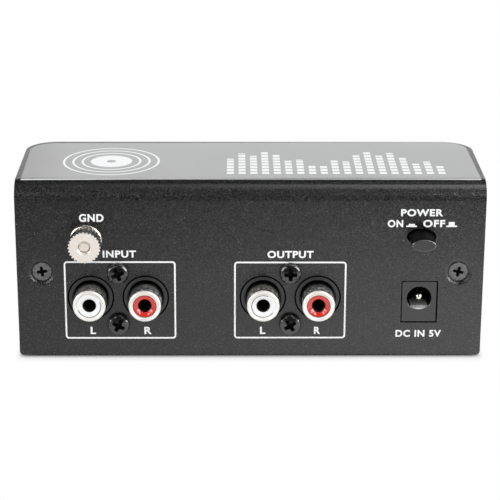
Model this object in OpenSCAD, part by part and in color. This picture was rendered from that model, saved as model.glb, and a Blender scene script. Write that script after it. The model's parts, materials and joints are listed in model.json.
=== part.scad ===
// Phono preamp: a folded steel case with two pairs of RCA jacks, a DC inlet,
// a latching power button and a ground terminal, with its boards inside.
//
// The jack wall faces -Y. The modules below work in the case's own places:
// x across the width, y into the case from the jack wall's outer face,
// z up from the case's lower edge. in_case() moves them to the part's frame.

/* [Case] */
// Width of the case
case_w = 118.7; // [116:0.1:126]
// Height of the case without its feet
case_h = 46.2; // [44:0.1:56]
// Depth of the case, from the jack wall to the far wall
case_d = 39; // [39:0.5:56]
// Thickness of the steel sheet
sheet = 1; // [0.9:0.05:1.1]
// Outer radius of the fold between the jack wall and the top
fold_r = 4.7; // [4:0.1:5]
// Radius of the two upright corners at the far wall
corner_r = 8; // [6:0.5:9]
// Radius of the jack wall's two lower corners
toe_r = 1.1; // [0.5:0.1:2]
// Width of the flanges behind the jack wall
flange_w = 9.5; // [9:0.1:9.8]
// Height of the stick-on feet
foot_h = 0.8; // [0.5:0.1:3]
// Radius of a foot
foot_r = 4.5; // [3:0.5:5]

/* [Label] */
// Thickness of the foil on the top
label_t = 0.15; // [0.1:0.05:0.3]
// Gap between the foil and the top's left and right edges
label_side = 1.3; // [1:0.1:3]
// Distance from the jack wall to the foil's near edge, at mid-width
label_near = 4.6; // [4:0.1:8]
// Turn of the foil on the top, in degrees
label_skew = 0.7; // [0:0.1:0.8]

/* [Screws] */
// Distance of the case screws from the middle
case_screw_x = 53; // [52.5:0.1:53.5]
// Height of the case screws
case_screw_z = 22.65; // [20:0.05:25]
// Radius of a case screw's head
case_head_r = 2.55; // [2.4:0.05:2.6]
// Radius of the pressed dimple around a case screw
dimple_r = 3.7; // [3.5:0.1:4]
// Height of the jack screws' middle
jack_screw_z = 15.6; // [15.5:0.1:15.7]
// Distance of a jack screw from that middle
jack_screw_dz = 6.9; // [6.8:0.1:7]
// Radius of a jack screw's head
jack_head_r = 2.8; // [2.6:0.1:3]

/* [Jacks] */
// Distance between the two jacks of a pair
jack_pitch = 14; // [14:0.1:14.4]
// Height of the jack axes
jack_z = 15.8; // [15.7:0.1:16]
// Middle of the input pair
input_x = -33.7; // [-34:0.1:-33]
// Middle of the output pair
output_x = 10.2; // [8:0.1:11]
// Outer radius of a shell
shell_r = 4.125; // [4.1:0.005:4.15]
// How far the shells stand out of the wall
shell_reach = 6.7; // [6:0.1:9]
// Radius of the hole for a plug's pin
pin_hole_r = 1.65; // [1.6:0.05:1.75]

/* [Power] */
// Middle of the DC inlet and of the power button, across the width
power_x = 43.25; // [43:0.05:43.3]
// Height of the DC inlet's mouth
dc_z = 15.5; // [15.3:0.1:15.6]
// Radius of the DC inlet's mouth
dc_mouth_r = 3.15; // [2.9:0.05:3.2]
// Radius of the DC inlet's centre pin
dc_pin_r = 1.05; // [0.8:0.05:1.25]
// Height of the power button
button_z = 30.3; // [29:0.1:31]
// Radius of the power button
button_r = 3.05; // [2.8:0.05:3.2]
// How far the released button stands out
button_reach = 4.7; // [4:0.1:6]
// Travel of the power button
button_travel = 2.8; // [1.5:0.1:2.8]

/* [Ground terminal] */
// Middle of the ground terminal, across the width
ground_x = -41.6; // [-42:0.1:-40]
// Height of the ground terminal
ground_z = 31.3; // [30:0.1:33]
// Outer radius of the thumb nut
nut_r = 4; // [3.5:0.1:4.2]
// Teeth around the thumb nut
nut_teeth = 38; // [24:1:48]
// How far the thumb nut's face stands out
nut_reach = 6.3; // [6:0.1:7]
// Radius of the ground stud
stud_r = 1.5; // [1.4:0.1:1.6]

/* [Hidden] */
$fn = 48;
eps = 0.01;
// Left between two round faces that only guide each other
seat_gap = 0.03;

// The case stands on its feet, and the part is centred between the shells' tips and the light.
reach = max(shell_reach, nut_reach);
light_out = 0.5;
wall_y = -(case_d + light_out - reach) / 2;
half_w = case_w / 2;

// Jacks, in the order of JACKS
JACKS = ["input_left", "input_right", "output_left", "output_right"];
jack_x = [
    input_x - jack_pitch / 2,
    input_x + jack_pitch / 2,
    output_x - jack_pitch / 2,
    output_x + jack_pitch / 2
];
boss_r = 5.55;
boss_gap = 0.2;
recess_r = 4.75;
recess_d = 1.5;
collar_r = 5.3;
shell_root_r = 4.4;
shell_bore_r = 3.65;
shell_lip_r = 3;
shell_lip_t = 0.5;
shell_end = 3.4;
shell_flange_t = 0.6;
insulator_end = 8.5;
contact_start = -3.2;
contact_r = 2.1;
contact_bore_r = 1.4;
blade_t = 0.6;
blade_w = 1.2;
tail_r = 0.3;
housing_end = 12.5;
housing_half_w = 12.6;
housing_top = 22.4;
rib_half_w = 3.3;
jack_screw_r = 1.5;
jack_screw_l = 7;

// Boards
board_t = 1.6;
board_top = 9.1;
board_under = board_top - board_t;
board_half_w = 54;
board_near = 2.6;
board_far = 35.5;
lead_r = 0.25;
drill_gap = 0.1;
lead_out = 1.2;
spacer_places = [[-50.8, 6.8], [50.8, 6.8], [-50, 31.6], [50, 31.6]];
spacer_r = 2.75;
base_screw_places = [[-54.2, 15], [-54.2, 25], [54.2, 15], [54.2, 25]];
side_lip = [12, 28];
foot_places = [[-49, 7], [49, 7], [-48.5, 31.3], [48.5, 31.3]];

// DC inlet
dc_half_w = 4.5;
dc_h = 11;
dc_face_t = 3.4;
dc_end = 14.2;
dc_well = 9.5;
dc_pin_start = 0.9;
dc_root_r = 1.25;
dc_tab_t = 0.5;
dc_tab_x = [1.3, 2.5];
dc_gap = 0.18;

// Power switch
switch_half = 4.25;
switch_start = 4.5;
switch_end = 17.5;
switch_wall = 1.2;
plunger_half = 1.6;
slide_half = 2.9;
slide_start = switch_start + switch_wall + 0.1;
slide_l = 6;
cavity_half = 3.05;
cavity_end = switch_end - 1;
spring_r = 1.8;
spring_wire_r = 0.2;
spring_turns = 5;
latch_r = 0.3;
latch_y = slide_start + slide_l - 0.8;
latch_z = cavity_half + 0.5;
terminal_r = 0.35;
terminal_places = [for (y = [8, 11, 14]) for (z = [-2, 2]) [y, button_z + z]];
riser_x = power_x + switch_half;
riser_y = [4.7, 28.6];
riser_leg_y = 17;
riser_z = [21.5, 36];
header_y = [for (i = [0:3]) 19 + 2.54 * i];
header_w = 2.5;

// Ground terminal
collar_disc_r = 4.15;
collar_disc_t = 1;
washer_r = 3.4;
washer_hole_r = 1.7;
washer_t = 0.5;
nut_back = -collar_disc_t - washer_t;
nut_hub_r = 3.1;
nut_hub_l = 0.7;
nut_bevel = 0.35;
nut_tooth = 0.28;
nut_clearance = 0.03;
stud_tip = nut_reach - 0.6;
stud_l_in = 5.2;
lug_t = 0.6;
lug_tail = 9.6;
barrel_r = 1.3;
wire_r = 0.7;
lock_nut_t = 2.4;
lock_nut_r = 3.18;

// Route of the ground wire, from the lug's barrel to the main board
wire_y = sheet + barrel_r;
wire_route = [
    [ground_x + 6.5, wire_y, ground_z],
    [ground_x + 10, wire_y, ground_z],
    [ground_x + 10.8, wire_y, ground_z],
    [-27.5, 4.5, 30.3],
    [-26, 9, 27],
    [-26, 14, 22],
    [-26, 16, 17],
    [-26, 16, 13],
    [-26, 16, board_top]
];

// Parts on the main board
cap_places = [[-42, 23], [-34, 23], [3, 23], [17, 23]];
cap_r = 3.15;
cap_h = 11;
cap_pitch = 2.5;
supply_places = [[26, 22], [36, 21]];
supply_r = 4;
supply_h = 12;
supply_pitch = 3.5;
film_places = [[-42, 30], [-33, 30], [4, 30], [13, 30]];
film_size = [7.2, 2.5, 6.5];
film_pitch = 5;
resistor_places = [for (i = [0:7]) [-22 + 2.9 * i, 28]];
resistor_pitch = 10;
diode_place = [31, 14];
op_amp_place = [-14, 17];
light_place = [-24, 34];
light_z = 16;
light_r = 1.5;
light_pitch = 2.54;
through_leads = concat(
    [for (p = cap_places) for (s = [-1, 1]) [p.x + s * cap_pitch / 2, p.y]],
    [for (p = supply_places) for (s = [-1, 1]) [p.x + s * supply_pitch / 2, p.y]],
    [for (p = film_places) for (s = [-1, 1]) [p.x + s * film_pitch / 2, p.y]],
    [for (p = resistor_places) for (s = [-1, 1]) [p.x, p.y + s * resistor_pitch / 2]],
    [for (s = [-1, 1]) [diode_place.x, diode_place.y + s * resistor_pitch / 2]],
    [for (s = [-1, 1]) [light_place.x + s * light_pitch / 2, light_place.y]],
    [for (y = header_y) [riser_x + board_t + header_w / 2, y]]
);

steel_black = "#26272a";
steel_plain = "#b9bcc0";
plastic_black = "#1d1d1f";
nickel = "#d9d6cf";

// ---------- Places and shapes ----------

// Moves the case's own places to the part's frame.
module in_case() {
    translate([0, wall_y, foot_h]) children();
}

// Turns a shape so that its +Z runs into the case.
module inward(x, z, y = 0) {
    translate([x, y, z]) rotate([-90, 0, 0]) children();
}

// Turns a shape so that its +Z runs out of the jack wall.
module outward(x, z, y = 0) {
    translate([x, y, z]) rotate([90, 0, 0]) children();
}

module rod(x, z, r, y0, y1) {
    inward(x, z, y0) cylinder(h = y1 - y0, r = r);
}

module slab(x, y, z) {
    translate([x[0], y[0], z[0]]) cube([x[1] - x[0], y[1] - y[0], z[1] - z[0]]);
}

// Extrudes an outline drawn on the jack wall, in x and z.
module on_wall(y0, y1) {
    translate([0, y1, 0]) rotate([90, 0, 0]) linear_extrude(height = y1 - y0) children();
}

// Extrudes an outline drawn from the side, in y and z, across the width.
module across(w) {
    rotate([90, 0, 90]) linear_extrude(height = w, center = true) children();
}

// From the side: everything behind the folded sheet's line, moved in by inset. gap is left in the fold alone.
module side_blank(inset, gap = 0) {
    r = fold_r - inset - gap;
    translate([inset, -2]) square([2 * case_d, case_h - fold_r + 2]);
    translate([fold_r, -2]) square([2 * case_d, case_h - inset + 2]);
    translate([fold_r, case_h - fold_r]) circle(r = r, $fn = 96);
}

// From above: the case's outline moved in by inset, with near corners of radius near_r.
module plan_outline(inset, near = 0, near_r = 0) {
    w = half_w - inset;
    d = case_d - inset;
    far_r = corner_r - inset;
    translate([-w, near + near_r]) square([2 * w, d - far_r - near - near_r]);
    translate([far_r - w, near + near_r]) square([2 * (w - far_r), d - near - near_r]);
    for (s = [-1, 1]) translate([s * (w - far_r), d - far_r]) circle(r = far_r, $fn = 96);
    if (near_r > 0) {
        translate([near_r - w, near]) square([2 * (w - near_r), near_r + eps]);
        for (s = [-1, 1]) translate([s * (w - near_r), near + near_r]) circle(r = near_r);
    }
}

// The jack wall's outline, with its two rounded lower corners.
module wall_outline() {
    translate([-half_w, toe_r]) square([case_w, case_h]);
    translate([toe_r - half_w, 0]) square([case_w - 2 * toe_r, case_h]);
    for (s = [-1, 1]) translate([s * (half_w - toe_r), toe_r]) circle(r = toe_r);
}

// Two crossed slots for a screwdriver, cut down from z = 0.
module cross_recess(l, w, depth) {
    for (a = [0, 90]) rotate([0, 0, a]) translate([-l / 2, -w / 2, -depth]) cube([l, w, depth + 1]);
}

// A pan-head screw: the head stands on z = 0 and the shank runs down.
module pan_screw(head_r, head_h, shank_r, l) {
    rim_h = head_h * 0.4;
    dome_h = head_h - rim_h;
    dome_r = (head_r * head_r + dome_h * dome_h) / (2 * dome_h);
    difference() {
        union() {
            cylinder(h = rim_h, r = head_r);
            intersection() {
                translate([0, 0, head_h - dome_r]) sphere(r = dome_r, $fn = 96);
                cylinder(h = head_h, r = head_r);
            }
            translate([0, 0, -l]) cylinder(h = l + eps, r = shank_r);
        }
        translate([0, 0, head_h]) cross_recess(head_r * 1.25, head_r * 0.3, head_h * 0.65);
    }
}

// A countersunk screw: the head's face is z = 0 and the shank runs down.
module flat_screw(head_r, shank_r, l) {
    rim_h = 0.2;
    cone_h = head_r - shank_r;
    difference() {
        union() {
            translate([0, 0, -rim_h]) cylinder(h = rim_h, r = head_r);
            translate([0, 0, -rim_h - cone_h]) cylinder(h = cone_h, r1 = shank_r, r2 = head_r);
            translate([0, 0, -l]) cylinder(h = l - rim_h - cone_h + eps, r = shank_r);
        }
        cross_recess(head_r * 1.15, head_r * 0.26, cone_h * 0.9);
    }
}

// The room that a countersunk screw's head and shank take.
module flat_seat(head_r, shank_r, l, gap) {
    cone_h = head_r - shank_r;
    translate([0, 0, -0.2]) cylinder(h = 2, r = head_r + gap);
    translate([0, 0, -0.2 - cone_h]) cylinder(h = cone_h, r1 = shank_r, r2 = head_r);
    translate([0, 0, -l]) cylinder(h = l, r = shank_r);
}

// A point at t between p1 and p2, on the smooth curve through all four points.
function on_curve(p0, p1, p2, p3, t) = 0.5 * (
    2 * p1 + (p2 - p0) * t + (2 * p0 - 5 * p1 + 4 * p2 - p3) * t * t
    + (3 * p1 - p0 - 3 * p2 + p3) * t * t * t
);

function smooth(route, n) = let (last = len(route) - 1) concat(
    [for (i = [0:last - 1]) for (k = [0:n - 1])
        on_curve(route[max(i - 1, 0)], route[i], route[i + 1], route[min(i + 2, last)], k / n)],
    [route[last]]
);

function unit(v) = v / norm(v);

// A round tube swept along points. side is a direction that the route never takes.
module swept_tube(points, r, sides, side) {
    n = len(points);
    rings = [for (i = [0:n - 1])
        let (
            t = unit(points[min(i + 1, n - 1)] - points[max(i - 1, 0)]),
            u = unit(cross(t, side)),
            v = cross(t, u)
        )
        for (k = [0:sides - 1]) points[i] + r * (cos(360 * k / sides) * u + sin(360 * k / sides) * v)
    ];
    walls = [for (i = [0:n - 2]) for (k = [0:sides - 1])
        let (m = (k + 1) % sides)
        [i * sides + k, (i + 1) * sides + k, (i + 1) * sides + m, i * sides + m]
    ];
    ends = [
        [for (k = [0:sides - 1]) k],
        [for (k = [0:sides - 1]) n * sides - 1 - k]
    ];
    polyhedron(points = rings, faces = concat(walls, ends), convexity = 6);
}

// ---------- Case ----------

// The pressed dimple's back, which nests in the flange behind it.
module dimple_back(s) {
    inward(s * case_screw_x, case_screw_z, sheet - eps) cylinder(h = 0.8, r1 = 4.3, r2 = 2.2);
}

// Tongue under the top that hooks below the far wall's lip.
module hook_tongue(x) {
    root_y = case_d - 9.5;
    slab([x - 5, x + 5], [root_y, root_y + 1.8], [case_h - 2 * sheet - eps, case_h - sheet + eps]);
    slab([x - 5, x + 5], [root_y, root_y + 6], [case_h - 3 * sheet, case_h - 2 * sheet]);
}

module case_cover() {
    color(steel_black) in_case() difference() {
        union() {
            intersection() {
                across(case_w + 2) difference() {
                    side_blank(0);
                    side_blank(sheet);
                }
                linear_extrude(height = case_h + 1) plan_outline(0);
                on_wall(-1, case_d + 1) wall_outline();
            }
            for (s = [-1, 1]) dimple_back(s);
            for (x = [-30, 30]) hook_tongue(x);
        }
        for (x = jack_x) rod(x, jack_z, boss_r + boss_gap, -1, sheet + 1);
        for (x = [input_x, output_x]) {
            for (s = [-1, 1]) rod(x, jack_screw_z + s * jack_screw_dz, jack_screw_r + 0.1, -1, sheet + 1);
        }
        for (s = [-1, 1]) {
            inward(s * case_screw_x, case_screw_z, -eps) cylinder(h = 0.5 + eps, r1 = dimple_r, r2 = 2.75);
            outward(s * case_screw_x, case_screw_z, 0.5) flat_seat(case_head_r, 1.5, 4, 0.1);
        }
        slab(
            [power_x - dc_half_w - dc_gap, power_x + dc_half_w + dc_gap],
            [-1, sheet + 1],
            [board_top - dc_gap, board_top + dc_h + dc_gap]
        );
        rod(power_x, button_z, button_r + 0.7, -1, sheet + 1);
        rod(ground_x, ground_z, stud_r + 0.1, -1, sheet + 1);
    }
}

module case_wrap() {
    near_r = 1.6;
    flange_in = half_w - flange_w;
    color(steel_black) in_case() difference() {
        intersection() {
            union() {
                difference() {
                    linear_extrude(height = case_h) plan_outline(0, sheet, near_r);
                    translate([0, 0, -1]) linear_extrude(height = case_h + 2)
                        plan_outline(sheet, 2 * sheet, near_r - sheet);
                    // the jack wall closes the open side between the two flanges
                    slab([-flange_in, flange_in], [0, 3 * sheet], [-1, case_h + 1]);
                    // notches below and above the flanges, for the base plate and the fold
                    slab([sheet - half_w, half_w - sheet], [0, sheet + near_r], [-1, 2.4]);
                    slab(
                        [near_r - half_w, half_w - near_r],
                        [0, 2 * sheet + eps],
                        [case_h - fold_r - 1.5, case_h + 1]
                    );
                }
                // lip of the far wall, under the top
                slab([-42, 42], [case_d - 7.5, case_d - sheet + eps], [case_h - 2 * sheet, case_h - sheet]);
                // side lips that hold the base plate
                for (s = [-1, 1]) {
                    mirror([s > 0 ? 0 : 1, 0, 0])
                        slab([half_w - flange_w, half_w - sheet + eps], side_lip, [sheet, 2 * sheet]);
                }
                // drawn collars for the screw threads
                for (s = [-1, 1]) rod(s * case_screw_x, case_screw_z, 3.2, 2 * sheet - eps, 4.2);
                for (p = base_screw_places) {
                    translate([p.x, p.y, 2 * sheet - eps]) cylinder(h = 2, r = 2.6);
                }
            }
            across(case_w) side_blank(sheet, seat_gap);
            linear_extrude(height = case_h - sheet) plan_outline(0, sheet, near_r);
        }
        for (s = [-1, 1]) {
            dimple_back(s);
            rod(s * case_screw_x, case_screw_z, 1.5, 0, 8);
        }
        for (p = base_screw_places) translate([p.x, p.y, 0]) cylinder(h = 6, r = 1.5);
        rod(light_place.x, light_z, light_r + 0.05, case_d - 2 * sheet, case_d + 1);
    }
}

module base_plate() {
    gap = 0.15;
    color(steel_black) in_case() difference() {
        linear_extrude(height = sheet) plan_outline(sheet + gap, sheet + gap);
        for (p = base_screw_places) {
            translate([p.x, p.y, 0]) mirror([0, 0, 1]) flat_seat(2.3, 1.5, 3, 0.05);
        }
        for (p = spacer_places) translate([p.x, p.y, -1]) cylinder(h = 3, r = 1.5);
    }
}

// A thin foil stuck on the top. Its near edge follows the start of the fold.
module top_label() {
    color("#a9acb0") in_case() intersection() {
        across(case_w + 2) difference() {
            side_blank(-label_t);
            side_blank(0);
        }
        translate([0, 0, case_h - fold_r]) linear_extrude(height = 2 * fold_r)
            translate([0, case_d / 2]) rotate(label_skew) translate([0, -case_d / 2]) intersection() {
                plan_outline(label_side);
                translate([-half_w, label_near]) square([case_w, case_d - label_near - label_side]);
            }
    }
}

module foot(i) {
    color("#17181a") in_case() translate([foot_places[i].x, foot_places[i].y, -foot_h])
        cylinder(h = foot_h, r1 = foot_r - 0.25, r2 = foot_r);
}

module case_screws() {
    color("#3a3b3d") in_case()
        for (s = [-1, 1]) outward(s * case_screw_x, case_screw_z, 0.5) flat_screw(case_head_r, 1.5, 7.5);
}

module base_screws() {
    color("#3a3b3d") in_case()
        for (p = base_screw_places) translate([p.x, p.y, 0]) mirror([0, 0, 1]) flat_screw(2.3, 1.5, 5);
}

// Hexagonal spacers pressed into the base plate.
module board_spacers() {
    color(nickel) in_case() for (p = spacer_places) translate([p.x, p.y, 0]) difference() {
        union() {
            cylinder(h = sheet, r = 1.5);
            translate([0, 0, sheet]) cylinder(h = board_under - sheet, r = spacer_r / cos(30), $fn = 6);
        }
        translate([0, 0, board_under - 4]) cylinder(h = 5, r = 1.2);
    }
}

module board_screws() {
    color(nickel) in_case()
        for (p = spacer_places) translate([p.x, p.y, board_top]) pan_screw(2.5, 1.6, 1.2, board_t + 3.5);
}

// ---------- Jacks ----------

module jack_housing(x) {
    color(plastic_black) in_case() difference() {
        union() {
            on_wall(sheet, 4) translate([x, 0]) {
                for (s = [-1, 1]) translate([s * jack_pitch / 2, jack_z]) circle(r = 6.6);
                translate([-jack_pitch / 2, jack_z - 6.6]) square([jack_pitch, 13.2]);
                translate([-rib_half_w, jack_screw_z - jack_screw_dz])
                    square([2 * rib_half_w, 2 * jack_screw_dz]);
                for (s = [-1, 1]) translate([0, jack_screw_z + s * jack_screw_dz]) circle(r = rib_half_w);
            }
            for (s = [-1, 1]) rod(x + s * jack_pitch / 2, jack_z, boss_r, 0, sheet + eps);
            // body on the board, with bevelled upper edges
            on_wall(4 - eps, housing_end) polygon([
                [x - housing_half_w, board_top],
                [x + housing_half_w, board_top],
                [x + housing_half_w, housing_top - 1.5],
                [x + housing_half_w - 1.5, housing_top],
                [x - housing_half_w + 1.5, housing_top],
                [x - housing_half_w, housing_top - 1.5]
            ]);
            for (s = [-1, 1]) rod(x, jack_screw_z + s * jack_screw_dz, 3.2, 4 - eps, 9);
        }
        for (s = [-1, 1]) {
            jx = x + s * jack_pitch / 2;
            rod(jx, jack_z, recess_r, -1, recess_d);
            rod(jx, jack_z, shell_root_r, recess_d - eps, shell_end + eps);
            rod(jx, jack_z, collar_r, shell_end, housing_end + 1);
            // ways for the solder tails
            slab([jx - 0.4, jx + 0.4], [3.3, 4.1], [board_top - 1, jack_z]);
            slab([jx - 0.8, jx + 0.8], [8.4, 9.3], [board_top - 1, jack_z]);
        }
        for (s = [-1, 1]) rod(x, jack_screw_z + s * jack_screw_dz, jack_screw_r, 0, jack_screw_l + 0.5);
        // sink marks that save plastic between the two jacks
        slab([x - 1.2, x + 1.2], [9.5, housing_end + 1], [11, housing_top - 2]);
    }
}

module jack_screws() {
    color("#202123") in_case() for (x = [input_x, output_x]) for (s = [-1, 1])
        outward(x, jack_screw_z + s * jack_screw_dz) pan_screw(jack_head_r, 1.9, jack_screw_r, jack_screw_l);
}

// A drawn tube with a lip rolled in at its mouth, a flange behind and a solder tail.
module jack_shell(x) {
    lip_edge = shell_reach - shell_lip_t;
    color(nickel) in_case() {
        inward(x, jack_z) rotate_extrude() difference() {
            union() {
                translate([shell_lip_r, -lip_edge]) square([shell_r - shell_lip_r, lip_edge + shell_end]);
                translate([shell_lip_r, -shell_reach]) square([shell_r - shell_lip_t - shell_lip_r, 1]);
                translate([shell_r - shell_lip_t, -lip_edge]) circle(r = shell_lip_t);
                translate([shell_lip_r, recess_d])
                    square([shell_root_r - seat_gap - shell_lip_r, shell_end - recess_d]);
                translate([shell_lip_r, shell_end]) square([collar_r - shell_lip_r - 0.05, shell_flange_t]);
            }
            translate([0, -lip_edge]) square([shell_bore_r, shell_reach + shell_end + 1]);
        }
        translate([x, shell_end + tail_r, board_under - lead_out])
            cylinder(h = jack_z - collar_r + 0.4 - board_under + lead_out, r = tail_r - 0.02);
    }
}

module jack_insulator(i) {
    x = jack_x[i];
    face = -shell_reach + 0.15;
    lip_edge = -shell_reach + shell_lip_t;
    body_end = shell_end + shell_flange_t;
    color(i % 2 == 0 ? "#f2f2ef" : "#c8202c") in_case() inward(x, jack_z) difference() {
        union() {
            translate([0, 0, face]) cylinder(h = lip_edge - face + eps, r = shell_lip_r);
            translate([0, 0, lip_edge]) cylinder(h = body_end - lip_edge, r = shell_bore_r);
            translate([0, 0, body_end]) cylinder(h = insulator_end - body_end, r = collar_r - seat_gap);
        }
        translate([0, 0, face - eps]) cylinder(h = 0.65, r1 = shell_lip_r - 0.15, r2 = pin_hole_r);
        translate([0, 0, face - 1]) cylinder(h = 10, r = pin_hole_r);
        translate([0, 0, contact_start]) cylinder(h = insulator_end - contact_start + 1, r = contact_r);
    }
}

// A sprung tube in four fingers, with a solder blade behind.
module jack_contact(x) {
    color("#cfc7a8") in_case() {
        difference() {
            rod(x, jack_z, contact_r, contact_start, insulator_end + blade_t);
            rod(x, jack_z, contact_bore_r, contact_start - 1, insulator_end);
            for (a = [45, 135]) inward(x, jack_z, contact_start - 1) rotate(a)
                translate([-3, -0.2, 0]) cube([6, 0.4, 7.5]);
        }
        slab(
            [x - blade_w / 2, x + blade_w / 2],
            [insulator_end, insulator_end + blade_t],
            [board_under - lead_out, jack_z - 1]
        );
    }
}

// ---------- DC inlet ----------

module dc_housing() {
    color(plastic_black) in_case() difference() {
        union() {
            slab(
                [power_x - dc_half_w, power_x + dc_half_w],
                [0, dc_face_t],
                [board_top, board_top + dc_h]
            );
            rod(power_x, dc_z, dc_half_w - 0.05, dc_face_t - eps, dc_end);
            slab(
                [power_x - dc_half_w + 0.05, power_x + dc_half_w - 0.05],
                [dc_face_t - eps, dc_end],
                [board_top, dc_z]
            );
        }
        rod(power_x, dc_z, dc_mouth_r, -1, dc_well);
        inward(power_x, dc_z, -eps) cylinder(h = 0.3, r1 = dc_mouth_r + 0.3, r2 = dc_mouth_r);
        rod(power_x, dc_z, dc_root_r, dc_well - 1, dc_end + 1);
        dc_spring_strip(0.05);
    }
}

// A sprung strip that rises into the mouth's floor, its blade behind the housing.
module dc_spring_strip(gap) {
    low = dc_z - dc_mouth_r - 0.5;
    translate([power_x, 0, 0]) across(2.2 + 2 * gap) polygon([
        [2.2 - gap, low - gap],
        [dc_end + 0.4 + gap, low - gap],
        [dc_end + 0.4 + gap, low + 0.4 + gap],
        [9, low + 0.4 + gap],
        [6, low + 1 + gap],
        [4, low + 0.7 + gap],
        [2.2 - gap, low + 0.4 + gap]
    ]);
}

module dc_spring() {
    low = dc_z - dc_mouth_r - 0.5;
    color(nickel) in_case() {
        dc_spring_strip(0);
        slab(
            [power_x - 1.1, power_x + 1.1],
            [dc_end, dc_end + 0.4],
            [board_under - lead_out, low + eps]
        );
    }
}

module dc_pin() {
    color("#e8e6e0") in_case() {
        rod(power_x, dc_z, dc_pin_r, dc_pin_start + dc_pin_r, dc_well);
        translate([power_x, dc_pin_start + dc_pin_r, dc_z]) sphere(r = dc_pin_r);
        rod(power_x, dc_z, dc_root_r, dc_well, dc_end + dc_tab_t);
        rod(power_x, dc_z, 1.9, dc_end, dc_end + dc_tab_t);
        slab(
            [power_x + dc_tab_x[0], power_x + dc_tab_x[1]],
            [dc_end, dc_end + dc_tab_t],
            [board_under - lead_out, dc_z]
        );
    }
}

// ---------- Power switch ----------

module power_button() {
    bevel = 0.55;
    color("#242527") in_case() difference() {
        inward(power_x, button_z) rotate_extrude() polygon([
            [0, -button_reach],
            [button_r - bevel, -button_reach],
            [button_r - bevel / 3, -button_reach + bevel / 3],
            [button_r, -button_reach + bevel],
            [button_r, 1.6],
            [0, 1.6]
        ]);
        slab(
            [power_x - plunger_half, power_x + plunger_half],
            [-2, 3],
            [button_z - plunger_half, button_z + plunger_half]
        );
    }
}

module switch_plunger() {
    color("#e6e4dc") in_case() difference() {
        union() {
            slab(
                [power_x - plunger_half, power_x + plunger_half],
                [-2, slide_start + eps],
                [button_z - plunger_half, button_z + plunger_half]
            );
            slab(
                [power_x - slide_half, power_x + slide_half],
                [slide_start, slide_start + slide_l],
                [button_z - slide_half, button_z + slide_half]
            );
        }
        // the groove that the latch pin follows
        slab(
            [power_x - 0.55, power_x + 0.55],
            [latch_y - button_travel - 0.5, latch_y + 0.5],
            [button_z + slide_half - 0.8, button_z + 4]
        );
    }
}

module latch_wire(gap) {
    r = latch_r + gap;
    z = button_z + latch_z;
    translate([power_x, latch_y, button_z + slide_half - 0.55]) cylinder(h = latch_z - slide_half + 0.55, r = r);
    rod(power_x, z, r, latch_y, switch_end - 0.6);
    translate([power_x, latch_y, z]) sphere(r = r);
}

module latch_pin() {
    color(nickel) in_case() latch_wire(0);
}

module terminal_pins(gap) {
    for (p = terminal_places) translate([power_x + cavity_half + 0.3, p.x, p.y])
        rotate([0, 90, 0]) cylinder(h = switch_half - cavity_half - 0.3 + board_t + lead_out, r = terminal_r + gap);
}

module switch_terminals() {
    color(nickel) in_case() terminal_pins(0);
}

module switch_housing() {
    opening = plunger_half + 0.15;
    color("#2c2c2e") in_case() difference() {
        slab(
            [power_x - switch_half, power_x + switch_half],
            [switch_start, switch_end],
            [button_z - switch_half, button_z + switch_half]
        );
        slab(
            [power_x - opening, power_x + opening],
            [switch_start - 1, switch_end - 2],
            [button_z - opening, button_z + opening]
        );
        slab(
            [power_x - cavity_half, power_x + cavity_half],
            [switch_start + switch_wall, cavity_end],
            [button_z - cavity_half, button_z + cavity_half]
        );
        slab(
            [power_x - latch_r - 0.1, power_x + latch_r + 0.1],
            [latch_y - 0.5, switch_end - 0.5],
            [button_z + cavity_half - 0.2, button_z + latch_z + latch_r + 0.1]
        );
        terminal_pins(0);
    }
}

module switch_spring() {
    start = slide_start + slide_l + spring_wire_r + 0.02;
    free_l = cavity_end - start - spring_wire_r - 0.02;
    steps = 12;
    color(nickel) in_case() translate([power_x, start, button_z]) swept_tube(
        [for (i = [0:spring_turns * steps]) let (a = 360 * i / steps)
            [(spring_r - spring_wire_r) * cos(a), free_l * i / spring_turns / steps, (spring_r - spring_wire_r) * sin(a)]],
        spring_wire_r, 6, [0, 1, 0]
    );
}

// The upright board that carries the switch level with its hole.
module switch_board() {
    color("#1f6b3a") in_case() difference() {
        union() {
            slab([riser_x, riser_x + board_t], riser_y, riser_z);
            slab([riser_x, riser_x + board_t], [riser_leg_y, riser_y[1]], [board_top, riser_z[0] + eps]);
        }
        terminal_pins(drill_gap);
        header_pins(drill_gap);
    }
}

module header_pins(gap) {
    for (y = header_y) {
        translate([riser_x - 0.8, y, board_top + header_w / 2]) rotate([0, 90, 0])
            cylinder(h = board_t + header_w / 2 + 0.8, r = terminal_r - 0.05 + gap);
    }
}

module board_header() {
    x = riser_x + board_t;
    color("#1b1b1c") in_case() {
        slab([x, x + header_w], [header_y[0] - 1.3, header_y[3] + 1.3], [board_top, board_top + header_w]);
        header_pins(0);
        for (y = header_y) translate([x + header_w / 2, y, board_under - lead_out])
            cylinder(h = board_t + lead_out + eps, r = lead_r);
    }
}

// ---------- Ground terminal ----------

module ground_stud() {
    chamfer = 0.45;
    color(nickel) in_case() union() {
        rod(ground_x, ground_z, stud_r, -stud_tip + chamfer, stud_l_in);
        outward(ground_x, ground_z, -stud_tip + chamfer) cylinder(h = chamfer, r1 = stud_r, r2 = stud_r - chamfer);
    }
}

module ground_collar() {
    color(nickel) in_case() difference() {
        rod(ground_x, ground_z, collar_disc_r, -collar_disc_t, 0);
        rod(ground_x, ground_z, stud_r, -2, 1);
    }
}

module clamp_washer() {
    color(nickel) in_case() difference() {
        rod(ground_x, ground_z, washer_r, nut_back, -collar_disc_t);
        rod(ground_x, ground_z, washer_hole_r, -3, 1);
    }
}

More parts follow.
